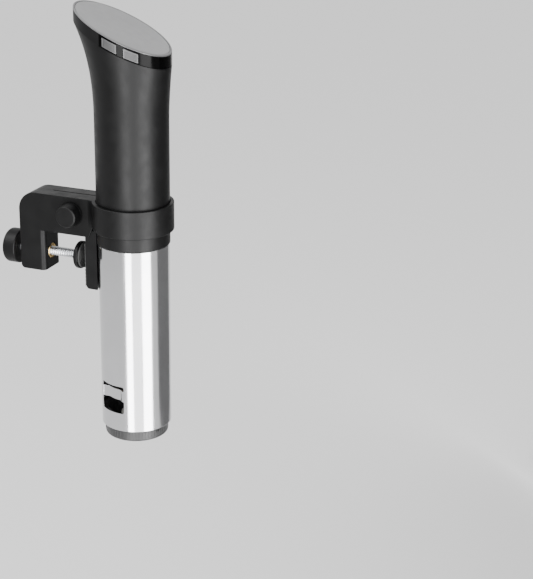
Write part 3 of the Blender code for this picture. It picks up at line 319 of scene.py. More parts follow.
def drill(item, radius, reach, origin, direction, steps):
    """Bores a round hole both ways from a point."""
    profile = [(0.0, reach), (radius, reach), (radius, -reach), (0.0, -reach)]
    boolean(item, place(turned("drill", profile, steps), along(origin, direction)), "DIFFERENCE")


def arc(centre, radius, start, end, steps):
    """(a, b) points round a centre, angles in degrees."""
    points = []
    for index in range(steps + 1):
        angle = math.radians(start + (end - start) * index / steps)
        points.append((centre[0] + radius * math.cos(angle), centre[1] + radius * math.sin(angle)))
    return points


def hexagon(name, across, depth):
    """Six-sided bar about local Z, from 0 up."""
    corners = arc((0.0, 0.0), across / math.sqrt(3.0), 0.0, 300.0, 5)
    return slab(name, [(x, y, 0.0) for x, y in corners], (0.0, 0.0, depth))


def polar(angle):
    """Level unit vector at an angle from +X."""
    return Vector((math.cos(angle), math.sin(angle), 0.0))


def along(origin, direction):
    """Matrix that turns local Z along a direction."""
    return Matrix.Translation(origin) @ direction.to_track_quat("Z", "Y").to_matrix().to_4x4()


def thread(name, radius, depth, pitch, length):
    """Open helical thread about local Z from 0 to length."""
    inner = radius - depth
    profile = [
        (inner, 0.0), (radius, 0.38 * pitch), (radius, 0.56 * pitch), (inner, 0.94 * pitch), (inner, pitch),
    ]
    item = chain(name, [(r, 0.0, z) for r, z in profile], closed=False)
    turns = max(1, int(length / pitch) - 1)
    apply(
        item, "SCREW", screw_offset=pitch, iterations=turns, steps=40, render_steps=40,
        use_merge_vertices=True, merge_threshold=0.00001,
    )
    edit(item)
    leave_outward()
    return item


def coat(item, finish):
    item.data.materials.clear()
    item.data.materials.append(PAINTS[finish])


def keep(item, body, slot, node, angle=32.0, weighted=True, paint=None):
    """Finishes a piece: shading, material (the slot's finish unless a paint is given), body, and hides the
    CAD node it stands for.
    """
    shade(item, angle, weighted)
    coat(item, paint or slot)
    settle(item)
    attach(item, body)
    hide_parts(node)


def lathe(node, profile, steps, origin, direction, body, slot, angle):
    """Turned piece along a direction, finished in one go."""
    item = place(turned(f"{node}_fine", profile, steps), along(origin, direction))
    keep(item, body, slot, node, angle=angle)


# ---- materials --------------------------------------------------------------------------------
class Paint:
    """A node material built up step by step."""

    def __init__(self, name, color, roughness, metallic=0.0):
        self.data = bpy.data.materials.new(name)
        self.data.use_nodes = True
        self.tree = self.data.node_tree
        self.shader = self.tree.nodes["Principled BSDF"]
        self.shader.inputs["Base Color"].default_value = (*color, 1.0)
        self.shader.inputs["Roughness"].default_value = roughness
        self.shader.inputs["Metallic"].default_value = metallic
        self.color = color
        self.roughness = roughness
        self.normal = None
        coordinate = self.tree.nodes.new("ShaderNodeTexCoord")
        self.place = coordinate.outputs["Object"]

    def noise(self, scale, detail=3.0, stretch=(1.0, 1.0, 1.0)):
        mapping = self.tree.nodes.new("ShaderNodeMapping")
        mapping.inputs["Scale"].default_value = stretch
        node = self.tree.nodes.new("ShaderNodeTexNoise")
        node.inputs["Scale"].default_value = scale
        node.inputs["Detail"].default_value = detail
        self.tree.links.new(self.place, mapping.inputs["Vector"])
        self.tree.links.new(mapping.outputs["Vector"], node.inputs["Vector"])
        return node.outputs["Fac"]

    def cells(self, scale):
        node = self.tree.nodes.new("ShaderNodeTexVoronoi")
        node.inputs["Scale"].default_value = scale
        self.tree.links.new(self.place, node.inputs["Vector"])
        return node.outputs["Distance"]

    def bands(self, scale, direction):
        node = self.tree.nodes.new("ShaderNodeTexWave")
        node.bands_direction = direction
        node.inputs["Scale"].default_value = scale
        self.tree.links.new(self.place, node.inputs["Vector"])
        return node.outputs["Fac"]

    def span(self, source, bottom, top, start=0.0, end=1.0):
        node = self.tree.nodes.new("ShaderNodeMapRange")
        node.inputs["From Min"].default_value = start
        node.inputs["From Max"].default_value = end
        node.inputs["To Min"].default_value = bottom
        node.inputs["To Max"].default_value = top
        self.tree.links.new(source, node.inputs["Value"])
        return node.outputs["Result"]

    def vary_roughness(self, source, spread, start=0.3, end=0.7):
        result = self.span(source, self.roughness - spread, self.roughness + spread, start, end)
        self.tree.links.new(result, self.shader.inputs["Roughness"])

    def vary_color(self, source, other, start=0.35, end=0.65):
        """Mixes towards another colour, or towards the same one times a factor."""
        if isinstance(other, float):
            other = tuple(min(channel * other, 1.0) for channel in self.color)
        mix = self.tree.nodes.new("ShaderNodeMix")
        mix.data_type = "RGBA"
        mix.inputs[6].default_value = (*self.color, 1.0)
        mix.inputs[7].default_value = (*other, 1.0)
        self.tree.links.new(self.span(source, 0.0, 1.0, start, end), mix.inputs["Factor"])
        self.tree.links.new(mix.outputs[2], self.shader.inputs["Base Color"])

    def bump(self, source, strength, depth):
        node = self.tree.nodes.new("ShaderNodeBump")
        node.inputs["Strength"].default_value = strength
        node.inputs["Distance"].default_value = depth * MM
        self.tree.links.new(source, node.inputs["Height"])
        if self.normal is not None:
            self.tree.links.new(self.normal, node.inputs["Normal"])
        self.normal = node.outputs["Normal"]
        self.tree.links.new(self.normal, self.shader.inputs["Normal"])


# name, colour, roughness, metallic, shader settings, then pattern steps (bump depths in mm)
FINISHES = {
    "matte_black": ("Matte moulding", None, 0.46, 0.0, {"Specular IOR Level": 0.15}, (
        ("vary_color", ("noise", 38.0, 4.0), 1.18), ("vary_roughness", ("noise", 90.0, 3.0), 0.06),
        ("bump", ("noise", 2600.0, 2.0), 0.16, 0.05), ("bump", ("noise", 420.0, 2.0), 0.05, 0.08),
    )),
    "gloss_black": ("Gloss trim", (0.001, 0.001, 0.001), 0.16, 0.0, {"Specular IOR Level": 0.05}, (
        ("vary_roughness", ("noise", 160.0, 4.0), 0.035), ("bump", ("noise", 70.0, 2.0), 0.03, 0.05),
    )),
    "display_grey": ("Screen grey", (0.185, 0.185, 0.188), 0.42, 0.0, {}, (
        ("vary_color", ("noise", 14.0, 2.0), (0.22, 0.22, 0.223)),
        ("vary_roughness", ("noise", 120.0, 4.0), 0.05),
        ("bump", ("noise", 1500.0, 2.0), 0.03, 0.04),
    )),
    "bezel": ("Bezel grey", (0.13, 0.13, 0.133), 0.34, 0.0, {}, (
        ("vary_roughness", ("noise", 200.0, 3.0), 0.06), ("bump", ("noise", 1800.0, 2.0), 0.05, 0.04),
    )),
    "vent_grey": ("Vent grey", (0.115, 0.115, 0.117), 0.42, 0.0, {}, (
        ("vary_color", ("noise", 300.0, 3.0), (0.092, 0.092, 0.094)),
        ("vary_roughness", ("noise", 260.0, 3.0), 0.08), ("bump", ("noise", 1900.0, 2.0), 0.10, 0.05),
    )),
    # polished sheet with fine drawing lines along the tube and a few smears
    "skirt": ("Drawn steel", None, 0.13, 1.0, {"Anisotropic": 0.35}, (
        ("vary_roughness", ("noise", 900.0, 3.0, (1.0, 1.0, 0.015)), 0.035),
        ("vary_color", ("noise", 26.0, 4.0), 0.93),
        ("bump", ("noise", 900.0, 3.0, (1.0, 1.0, 0.015)), 0.05, 0.03),
        ("bump", ("noise", 45.0, 2.0, (1.0, 1.0, 0.4)), 0.05, 0.12),
    )),
    # sheath with the straw tint of a used element
    "heater": ("Heater sheath", (0.60, 0.58, 0.55), 0.26, 1.0, {}, (
        ("vary_color", ("noise", 110.0, 5.0), (0.46, 0.40, 0.33), 0.42, 0.66),
        ("vary_roughness", ("noise", 420.0, 3.0), 0.09), ("bump", ("noise", 700.0, 3.0), 0.08, 0.05),
    )),
    "stainless_steel": ("Ground steel", (0.64, 0.64, 0.65), 0.20, 1.0, {}, (
        ("vary_roughness", ("noise", 800.0, 3.0, (1.0, 1.0, 6.0)), 0.06),
        ("bump", ("noise", 900.0, 2.0, (1.0, 1.0, 5.0)), 0.06, 0.04),
    )),
    "zinc": ("Zinc plate", (0.52, 0.53, 0.55), 0.33, 1.0, {}, (
        ("vary_color", ("cells", 520.0), (0.60, 0.61, 0.62), 0.1, 0.8),
        ("vary_roughness", ("noise", 500.0, 3.0), 0.08), ("bump", ("noise", 1400.0, 2.0), 0.06, 0.05),
    )),
    "brass": ("Turned brass", (0.66, 0.47, 0.20), 0.28, 1.0, {}, (
        ("vary_color", ("noise", 240.0, 4.0), (0.50, 0.35, 0.15)),
        ("vary_roughness", ("noise", 600.0, 3.0), 0.07), ("bump", ("bands", 700.0, "X"), 0.08, 0.04),
    )),
    "rubber": ("Soft rubber", (0.016, 0.016, 0.016), 0.74, 0.0, {}, (
        ("vary_color", ("noise", 180.0, 4.0), (0.030, 0.030, 0.029)),
        ("vary_roughness", ("noise", 140.0, 3.0), 0.08), ("bump", ("noise", 2200.0, 3.0), 0.22, 0.06),
    )),
    "cap_grey": ("Cap plastic", (0.021, 0.021, 0.022), 0.50, 0.0, {}, (
        ("vary_color", ("noise", 60.0, 4.0), (0.027, 0.027, 0.028)),
        ("vary_roughness", ("noise", 220.0, 3.0), 0.06), ("bump", ("noise", 2000.0, 2.0), 0.12, 0.05),
    )),
    "white_plastic": ("White nylon", (0.68, 0.68, 0.65), 0.42, 0.0, {}, (
        ("vary_color", ("noise", 70.0, 4.0), (0.60, 0.59, 0.55)),
        ("vary_roughness", ("noise", 240.0, 3.0), 0.07), ("bump", ("noise", 1600.0, 2.0), 0.08, 0.05),
    )),
    "board_green": ("Circuit board", (0.012, 0.12, 0.045), 0.38, 0.0, {}, (
        ("vary_color", ("cells", 260.0), (0.03, 0.20, 0.08), 0.25, 0.4),
        ("vary_roughness", ("noise", 400.0, 3.0), 0.08), ("bump", ("cells", 260.0), 0.2, 0.05),
    )),
    "component": ("Component case", (0.035, 0.035, 0.06), 0.40, 0.0, {}, (
        ("vary_roughness", ("noise", 300.0, 3.0), 0.08), ("bump", ("noise", 900.0, 3.0), 0.12, 0.06),
    )),
    # stacked laminations, edge on
    "transformer_core": ("Core laminations", (0.06, 0.06, 0.075), 0.45, 0.6, {}, (
        ("vary_color", ("bands", 900.0, "Z"), (0.12, 0.12, 0.13)),
        ("vary_roughness", ("noise", 300.0, 3.0), 0.08), ("bump", ("bands", 900.0, "Z"), 0.3, 0.08),
    )),
}
PAINTS = {}


def fill_paints(scene):
    """Makes every finish; the moulding's and the skirt's colours come from the settings."""
    chosen = {"matte_black": scene.circ_clamp.black, "skirt": scene.circ_skirt.steel}
    for key, (name, color, roughness, metallic, settings, steps) in FINISHES.items():
        paint = Paint(name, chosen.get(key, color), roughness, metallic)
        for method, (pattern, *measures), *amounts in steps:
            getattr(paint, method)(getattr(paint, pattern)(*measures), *amounts)
        for socket, value in settings.items():
            paint.shader.inputs[socket].default_value = value
        PAINTS[key] = paint.data


class CIRC_OT_finish_frame(Operator):
    """Give every carried-over piece its finish"""

    bl_idname = "circ.finish_frame"
    bl_label = "Finishes"

    def execute(self, context):
        fill_paints(context.scene)
        for part in frame["record"]["subparts"]:
            coat(frame["nodes"][part["node"]], part["material_slot"])
        return {"FINISHED"}


# ---- clamp ------------------------------------------------------------------------------------
class CIRC_OT_clamp(Operator):
    """Split ring, arm and jaws in one moulding with rounded edges"""

    bl_idname = "circ.clamp"
    bl_label = "Clamp body"

    def execute(self, context):
        look = context.scene.circ_clamp
        body_high = high("clamp_body")
        ring_r = body_high.y
        bore_r = size("ring_liner").x / 2.0 - 0.7 * MM
        groove_r = size("ring_liner").x / 2.0 + FIT
        liner_low, liner_high = low("ring_liner").z, high("ring_liner").z
        lip = body_high.z - liner_high
        ring_low = liner_low - lip
        half = -high("ring_washer").y - FIT
        screw = middle("ring_screw")
        end_x = low("screw_insert").x
        jaw_x = high("screw_insert").x
        face_x = high("jaw_pad").x + FIT
        under = high("jaw_pad").z + 7.0 * MM
        fixed_low = low("jaw_pad").z - 1.8 * MM
        outer_low = middle("screw_insert").z - 14.8 * MM
        corner = ARM_CORNER_R
        ring_in = AXIS_X - bore_r + 6.0 * MM
        arm_profile = [(ring_in, ring_low + FIT), (ring_in, body_high.z)]
        arm_profile += arc((end_x + corner, body_high.z - corner), corner, 90.0, 180.0, 12)
        arm_profile += [
            (end_x, under - 1.0 * MM), (jaw_x - 6.0 * MM, under - 1.0 * MM), (jaw_x - 6.0 * MM, under),
            (AXIS_X - ring_r - 1.1 * MM, under), (ring_in - 6.0 * MM, ring_low + FIT),
        ]
        arm = slab("clamp_body_fine", [(x, -half, z) for x, z in arm_profile], (0.0, 2.0 * half, 0.0))
        soften(arm, look.edge, 3)
        r = look.jaw_corner
        jaw_plan = [(end_x, half), (end_x, -half)]
        jaw_plan += arc((jaw_x - r, -half + r), r, -90.0, 0.0, 8)
        jaw_plan += arc((jaw_x - r, half - r), r, 0.0, 90.0, 8)
        jaw = slab("jaw", [(x, y, outer_low) for x, y in jaw_plan], (0.0, 0.0, under + 4.0 * MM - outer_low))
        edit(jaw)
        bpy.ops.mesh.select_all(action="DESELECT")
        bpy.ops.mesh.select_mode(type="EDGE")
        leave()
        for edge in jaw.data.edges:
            a, b = (jaw.data.vertices[index].co for index in edge.vertices)
            on_end = max(abs(a.x - end_x), abs(b.x - end_x)) < CLOSE
            edge.select = on_end and max(a.z, b.z) < under and abs(a.z - b.z) < CLOSE
        edit(jaw)
        bpy.ops.mesh.bevel(offset=3.6 * MM, segments=6, affect="EDGES")
        leave()
        soften(jaw, look.edge, 3)
        fillet = ARM_FILLET_R
        fy = half + fillet
        fx = -math.sqrt((ring_r + fillet) ** 2 - fy ** 2)
        meet = math.degrees(math.atan2(fy, fx))
        plan = arc((AXIS_X, 0.0), ring_r, -meet, meet, 120)
        far = arc((AXIS_X + fx, fy), fillet, meet - 180.0, -90.0, 8)[1:]
        plan += far + [(x, -y) for x, y in reversed(far)]
        ring = slab("ring", [(x, y, ring_low) for x, y in plan], (0.0, 0.0, body_high.z - ring_low))
        soften(ring, look.edge, 3)
        jaw_half = size("jaw_pad").y / 2.0 + 2.0 * MM
        side = [(ring_in, under + 6.0 * MM), (face_x, under + 6.0 * MM)]
        side += arc(
            (face_x + 3.0 * MM, fixed_low + 3.0 * MM), 3.0 * MM, 180.0, 270.0, 8,
        ) + [(ring_in, fixed_low)]
        fixed = slab("fixed", [(x, -jaw_half, z) for x, z in side], (0.0, 2.0 * jaw_half, 0.0))
        soften(fixed, 0.6 * MM, 3)
        for shape in (jaw, ring, fixed):
            boolean(arm, shape, "UNION")
        top = body_high.z + 6.0 * MM
        profile = [
            (0.0, top), (bore_r, top), (bore_r, liner_high + FIT), (groove_r, liner_high + FIT),
            (groove_r, liner_low - FIT), (bore_r, liner_low - FIT), (bore_r, fixed_low - 6.0 * MM),
            (0.0, fixed_low - 6.0 * MM),
        ]
        bore = turned("bore", profile, 120)
        boolean(arm, to_axis(bore), "DIFFERENCE")
        slot_end = jaw_x + 2.8 * MM
        plan = [(slot_end, -SLOT_HALF), (AXIS_X, -SLOT_HALF), (AXIS_X, SLOT_HALF), (slot_end, SLOT_HALF)]
        split = slab("split", [(x, y, top) for x, y in plan], (0.0, 0.0, under - 8.0 * MM - top))
        boolean(arm, split, "DIFFERENCE")
        insert_r = size("screw_insert").z / 2.0 + FIT
        insert = middle("screw_insert")
        drill(arm, insert_r, 40.0 * MM, (insert.x, 0.0, insert.z), OUT, 64)
        drill(arm, RING_SCREW_HOLE_R, 30.0 * MM, (screw.x, 0.0, screw.z), USER, 48)
        pocket = hexagon("pocket", NUT_ACROSS + 0.6 * MM, 12.0 * MM)
        place(pocket, along((screw.x, half - NUT_POCKET, screw.z), -USER))
        boolean(arm, pocket, "DIFFERENCE")
        keep(arm, "clamp", "matte_black", "clamp_body", angle=38.0)
        return {"FINISHED"}


def knob_profile(radius, thick, edge, bore, socket, dish):
    """Turned knob, local z = 0 its outer face and z falling towards the clamp."""
    points = [(0.0, -dish), (radius - edge - 3.0 * MM, -dish)]
    points += arc((radius - edge, -edge), edge, 90.0, 0.0, 10)
    points += arc((radius - 1.0 * MM, -thick + 1.0 * MM), 1.0 * MM, 0.0, -90.0, 5)
    points += [(bore, -thick), (bore, -thick + socket), (0.0, -thick + socket)]
    return points


class CIRC_OT_clamp_screw(Operator):
    """Clamp screw with its thread, round knob and swivel foot"""

    bl_idname = "circ.clamp_screw"
    bl_label = "Clamp screw"

    def execute(self, context):
        look = context.scene.circ_clamp
        centre = middle("clamp_screw")
        knob = turned("clamp_knob_fine", knob_profile(
            size("clamp_knob").z / 2.0, size("clamp_knob").x, 3.2 * MM, 4.3 * MM, 6.3 * MM, 0.5 * MM
        ), 96)
        place(knob, along((low("clamp_knob").x, 0.0, centre.z), OUT))
        keep(knob, "clamp_screw", "matte_black", "clamp_knob", angle=40.0)
        radius = size("clamp_screw").z / 2.0
        length = size("clamp_screw").x
        screw = thread("clamp_screw_fine", radius, 0.9 * MM, look.pitch, length)
        neck = turned("neck", [
            (0.0, length), (2.6 * MM, length), (3.1 * MM, length - 0.6 * MM), (3.1 * MM, length - 2.4 * MM),
            (0.0, length - 2.4 * MM),
        ], 48)
        tail = turned("tail", [(0.0, 0.6 * MM), (radius, 0.6 * MM), (radius, 0.0), (0.0, 0.0)], 48)
        fuse("clamp_screw_fine", screw, neck, tail)
        place(screw, along((low("clamp_screw").x, 0.0, centre.z), -OUT))
        keep(screw, "clamp_screw", "zinc", "clamp_screw", angle=30.0, weighted=False)
        foot = size("pressure_foot")
        face = high("pressure_foot").x
        r = foot.z / 2.0
        profile = [(0.0, 0.0), (r - 0.6 * MM, 0.0)]
        profile += arc((r - 0.8 * MM, -0.8 * MM), 0.8 * MM, 90.0, 0.0, 5)
        profile += arc((r - 1.2 * MM, -2.8 * MM), 1.2 * MM, 0.0, -50.0, 5)
        profile += [
            (7.2 * MM, -foot.x), (4.3 * MM, -foot.x), (4.3 * MM, -foot.x + 2.6 * MM),
            (0.0, -foot.x + 2.6 * MM),
        ]
        lathe("pressure_foot", profile, 80, (face, 0.0, centre.z), -OUT, "pressure_foot", "matte_black", 40.0)
        r = size("foot_pad").z / 2.0
        thick = size("foot_pad").x
        profile = [(0.0, 0.0), (2.5 * MM, 0.0)]
        for index in range(3):
            start = (4.0 + 2.2 * index) * MM
            profile += [
                (start, 0.0), (start + 0.3 * MM, -0.4 * MM), (start + 0.7 * MM, -0.4 * MM),
                (start + 1.0 * MM, 0.0),
            ]
        profile += [(r - 0.4 * MM, 0.0), (r, -0.4 * MM), (r, -thick), (0.0, -thick)]
        lathe(
            "foot_pad", profile, 80, (high("foot_pad").x, 0.0, centre.z), -OUT, "pressure_foot", "rubber",
            25.0,
        )
        insert = size("screw_insert")
        r = insert.z / 2.0
        profile = [(r - 0.5 * MM, 0.0), (r, -0.5 * MM), (r, -insert.x + 0.5 * MM), (r - 0.5 * MM, -insert.x)]
        profile += [
            (4.6 * MM, -insert.x), (4.2 * MM, -insert.x + 0.5 * MM), (4.2 * MM, -0.5 * MM), (4.6 * MM, 0.0),
        ]
        lathe(
            "screw_insert", profile, 64, (high("screw_insert").x, 0.0, centre.z), -OUT, "clamp", "brass",
            30.0,
        )
        return {"FINISHED"}


class CIRC_OT_jaw_pad(Operator):
    """Ribbed rubber face of the fixed jaw"""

    bl_idname = "circ.jaw_pad"
    bl_label = "Jaw pad"

    def execute(self, context):
        a, b = low("jaw_pad"), high("jaw_pad")
        clear_selection()
        bpy.ops.mesh.primitive_cube_add(size=1.0, location=(a + b) / 2.0, scale=b - a)
        pad = bpy.context.object
        pad.name = "jaw_pad_fine"
        settle(pad)
        grooves = []
        count = 11
        for index in range(count):
            z = a.z + (b.z - a.z) * (index + 1) / (count + 1)
            points = [(a.x - 1.0 * MM, 0.0, z + 0.9 * MM), (a.x + 0.45 * MM, 0.0, z + 0.3 * MM),
                      (a.x + 0.45 * MM, 0.0, z - 0.3 * MM), (a.x - 1.0 * MM, 0.0, z - 0.9 * MM)]
            groove = slab(
                "groove", [(x, a.y - 1.0 * MM, z) for x, _, z in points], (0.0, b.y - a.y + 2.0 * MM, 0.0),
            )
            grooves.append(groove)
        boolean(pad, fuse("grooves", *grooves), "DIFFERENCE")
        soften(pad, 0.18 * MM, 2)
        keep(pad, "clamp", "rubber", "jaw_pad")
        return {"FINISHED"}


class CIRC_OT_ring_screw(Operator):
    """Ring screw with its knob, washer and nut"""

    bl_idname = "circ.ring_screw"
    bl_label = "Ring screw"

    def execute(self, context):
        look = context.scene.circ_clamp
        centre = middle("ring_screw")
        knob_size = size("ring_knob")
        r = knob_size.z / 2.0
        thick = knob_size.y
        top_r = r - 1.0 * MM
        profile = [(0.0, 0.0), (top_r - 3.0 * MM, 0.0)]
        profile += arc((top_r - 1.6 * MM, -1.6 * MM), 1.6 * MM, 90.0, 6.0, 8)
        profile += arc((r - 0.5 * MM, -thick + 0.5 * MM), 0.5 * MM, 0.0, -90.0, 4)
        profile += [(3.3 * MM, -thick), (3.3 * MM, -thick + 5.3 * MM), (0.0, -thick + 5.3 * MM)]
        lathe(
            "ring_knob", profile, 96, (centre.x, low("ring_knob").y, centre.z), USER, "ring_screw",
            "matte_black", 40.0,
        )
        radius = size("ring_screw").z / 2.0
        length = size("ring_screw").y
        screw = thread("ring_screw_fine", radius, 0.6 * MM, look.ring_pitch, length)
        tip = turned(
            "tip",
            [
                (0.0, 0.0), (radius - 0.7 * MM, 0.0), (radius - 0.1 * MM, 0.6 * MM),
                (radius - 0.1 * MM, 1.0 * MM), (0.0, 1.0 * MM),
            ],
            40,
        )
        end = turned(
            "end", [(0.0, length), (radius, length), (radius, length - 3.0 * MM), (0.0, length - 3.0 * MM)],
            40,
        )
        fuse("ring_screw_fine", screw, tip, end)
        place(screw, along((centre.x, high("ring_screw").y, centre.z), USER))
        keep(screw, "ring_screw", "zinc", "ring_screw", angle=30.0, weighted=False)
        washer = size("ring_washer")
        r = washer.z / 2.0
        profile = [(r - 0.3 * MM, 0.0), (r, -0.3 * MM), (r, -washer.y + 0.1 * MM), (r - 0.1 * MM, -washer.y)]
        profile += [(3.3 * MM, -washer.y), (3.3 * MM, -0.2 * MM), (3.5 * MM, 0.0)]
        lathe(
            "ring_washer", profile, 80, (centre.x, low("ring_washer").y, centre.z), USER, "ring_washer",
            "matte_black", 30.0,
        )
        nut = size("ring_nut")
        block = hexagon("ring_nut_fine", NUT_ACROSS, nut.y)
        chamfer = turned("chamfer", [
            (0.0, -0.1 * MM), (5.0 * MM, -0.1 * MM), (6.2 * MM, 0.7 * MM), (6.2 * MM, nut.y - 0.7 * MM),
            (5.0 * MM, nut.y + 0.1 * MM), (0.0, nut.y + 0.1 * MM),
        ], 60)
        boolean(block, chamfer, "INTERSECT")
        drill(block, NUT_BORE_R, 20.0 * MM, (0.0, 0.0, 0.0), UP, 40)
        place(block, along((centre.x, low("ring_nut").y, centre.z), -USER))
        keep(block, "clamp", "zinc", "ring_nut", angle=25.0)
        return {"FINISHED"}


# ---- wet end ----------------------------------------------------------------------------------
def on_wall(radius, angle, z):
    return (AXIS_X + radius * math.cos(angle), radius * math.sin(angle), z)


class CIRC_OT_skirt(Operator):
    """Steel skirt with two windows, each crossed by a strap pressed inwards"""

    bl_idname = "circ.skirt"
    bl_label = "Skirt"

    def execute(self, context):
        look = context.scene.circ_skirt
        a, b = low("skirt"), high("skirt")
        r = (b.x - a.x) / 2.0
        wall = look.wall
        mid = wall / 2.0
        profile = arc((r - mid, b.z - mid), mid, 90.0, 0.0, 3) + arc(
            (r - mid, a.z + mid), mid, 0.0, -180.0, 6,
        )
        profile += arc((r - mid, b.z - mid), mid, 180.0, 90.0, 3)[:-1]
        shell = turned("skirt_fine", profile, 128)
        to_axis(shell)
        half = WINDOW_HALF_ANGLE
        bottom = a.z + WINDOW_RISE
        top = bottom + WINDOW_HEIGHT
        strap_low = bottom + STRAP_RISE
        straps = []
        for middle_angle in WINDOW_ANGLES:
            out = polar(middle_angle)
            side = UP.cross(out)
            width = (r - mid) * math.sin(half)
            c = look.corner
            outline = arc(
                (-width + c, bottom + c), c, 180.0, 270.0, 6,
            ) + arc((width - c, bottom + c), c, 270.0, 360.0, 6)
            outline += arc((width - c, top - c), c, 0.0, 90.0, 6) + arc(
                (-width + c, top - c), c, 90.0, 180.0, 6,
            )
            start = out * (r - 12.0 * MM) + Vector((AXIS_X, 0.0, 0.0))
            cutter = slab("window", [tuple(start + side * s + UP * z) for s, z in outline], out * 24.0 * MM)
            boolean(shell, cutter, "DIFFERENCE")
            reach = half + math.radians(3.0)
            outer = []
            inner = []
            steps = 48
            for index in range(steps + 1):
                offset = -reach + 2.0 * reach * index / steps
                inward = min(max((half - abs(offset)) / (half * 0.5), 0.0), 1.0)
                dish = look.dish * inward * inward * (3.0 - 2.0 * inward)
                lapped = r - wall - dish + 0.25 * MM
                outer.append(on_wall(lapped, middle_angle + offset, strap_low))
                inner.append(on_wall(lapped - wall, middle_angle + offset, strap_low))
            strap = slab("strap", outer + list(reversed(inner)), (0.0, 0.0, STRAP_HEIGHT))
            soften(strap, 0.22 * MM, 3, 50.0)
            straps.append(strap)
        soften(shell, 0.16 * MM, 2, 50.0)
        fuse("skirt_fine", shell, *straps)
        keep(shell, "skirt", "stainless_steel", "skirt", angle=40.0, paint="skirt")
        return {"FINISHED"}


class CIRC_OT_end_cap(Operator):
    """Ribbed end cap with its inlet slots, and a notch to lift it by"""

    bl_idname = "circ.end_cap"
    bl_label = "End cap"

    def execute(self, context):
        look = context.scene.circ_skirt
        a, b = low("end_cap"), high("end_cap")
        edge_z = low("skirt").z
        r = size("skirt").x / 2.0 - CAP_INSET
        spigot = size("skirt").x / 2.0 - 1.1 * MM
        bore = r - 2.6 * MM
        floor = a.z + CAP_FLOOR
        profile = [(0.0, floor), (bore - 1.0 * MM, floor)] + arc(
            (bore - 1.0 * MM, floor + 1.0 * MM), 1.0 * MM, -90.0, 0.0, 4,
        )
        profile += [
            (bore, b.z - 0.4 * MM), (bore + 0.4 * MM, b.z), (spigot - 0.5 * MM, b.z),
            (spigot, b.z - 0.5 * MM),
        ]
        profile += [(spigot, edge_z + FIT), (r, edge_z - FIT)]
        profile += arc((r - 1.8 * MM, a.z + 1.8 * MM), 1.8 * MM, 0.0, -90.0, 8)
        profile += [(0.0, a.z)]
        cap = turned("end_cap_fine", profile, 120)
        slots = []
        for index in range(CAP_SLOTS):
            plan = arc(
                (19.4 * MM, 0.0), 1.6 * MM, -90.0, 90.0, 6,
            ) + arc((8.6 * MM, 0.0), 1.6 * MM, 90.0, 270.0, 6)
            slot = slab("slot", [(x, y, a.z - 3.0 * MM) for x, y in plan], (0.0, 0.0, 9.0 * MM))
            slots.append(place(slot, Matrix.Rotation(math.tau * index / CAP_SLOTS, 4, "Z")))
        boolean(cap, fuse("slots", *slots), "DIFFERENCE")
        notch = slab("notch", [
            (r - 1.0 * MM, -3.0 * MM, edge_z - 4.0 * MM), (r + 4.0 * MM, -3.0 * MM, edge_z - 4.0 * MM),
            (r + 4.0 * MM, 3.0 * MM, edge_z - 4.0 * MM), (r - 1.0 * MM, 3.0 * MM, edge_z - 4.0 * MM),
        ], (0.0, 0.0, 3.7 * MM))
        place(notch, Matrix.Rotation(math.radians(-20.0), 4, "Z"))
        boolean(cap, notch, "DIFFERENCE")
        soften(cap, 0.25 * MM, 2, 40.0)
        rib_low = a.z + CAP_FLOOR
        rib = slab("rib", [
            (r - 0.2 * MM, -0.45 * MM, rib_low), (r + 0.22 * MM, -0.22 * MM, rib_low + 0.4 * MM),
            (r + 0.22 * MM, 0.22 * MM, rib_low + 0.4 * MM), (r - 0.2 * MM, 0.45 * MM, rib_low),
        ], (0.0, 0.0, edge_z - 2.4 * MM - rib_low))
        ribs = spread("ribs", rib, look.ribs)
        fuse("end_cap_fine", cap, ribs)
        to_axis(cap)
        keep(cap, "end_cap", "cap_grey", "end_cap", angle=36.0)
        return {"FINISHED"}


# ---- head -------------------------------------------------------------------------------------
class Head:
    """Outline of the housing: a level circle low down, a slanted ellipse higher up."""

    TUBE_R = 31.0 * MM
    START = 70.0 * MM
    BAND = 11.0 * MM
    BACK_POWER = 2.5
    FRONT_POWER = 1.7

    def __init__(self):
        a, b = low("display_bezel"), high("display_bezel")
        self.tip_x, self.toe_x = a.x, b.x
        self.half_width = (b.y - a.y) / 2.0
        self.tip_z = b.z
        self.toe_z = a.z + BEZEL_THICK
        self.band_tip = self.tip_z - self.BAND
        self.start = RING_TOP + self.START
        self.slope = Vector((self.toe_x - self.tip_x, 0.0, self.toe_z - self.tip_z))

    def ring(self, rise, depth):
        """Centre x and z, half length along the slope, half width and tilt."""
        if rise <= self.start:
            return AXIS_X, rise, self.TUBE_R - depth, self.TUBE_R - depth, 0.0
        blend = min((rise - self.start) / (self.band_tip - self.start), 1.0)
        tip_x = AXIS_X - self.TUBE_R + (self.tip_x - AXIS_X + self.TUBE_R) * blend ** self.BACK_POWER
        toe_x = AXIS_X + self.TUBE_R + (self.toe_x - AXIS_X - self.TUBE_R) * blend ** self.FRONT_POWER
        width = self.TUBE_R + (self.half_width - self.TUBE_R) * blend ** self.FRONT_POWER
        band_toe = self.toe_z - self.BAND
        toe_z = self.start + blend * (band_toe - self.start) + max(rise - self.band_tip, 0.0)
        half = (toe_x - tip_x) / 2.0
        drop = (toe_z - rise) / 2.0
        stretch = math.hypot(half, drop) / half
        centre = ((tip_x + toe_x) / 2.0, (rise + toe_z) / 2.0)
        return *centre, (half - depth) * stretch, width - depth, math.atan2(drop, half)

    def plan(self, angle, reach):
        """Point at an angle from the toe, beyond or inside the rim by a share of its size."""
        centre = (self.tip_x + self.toe_x) / 2.0
        half = (self.toe_x - self.tip_x) / 2.0
        return centre + half * reach * math.cos(angle), self.half_width * reach * math.sin(angle)


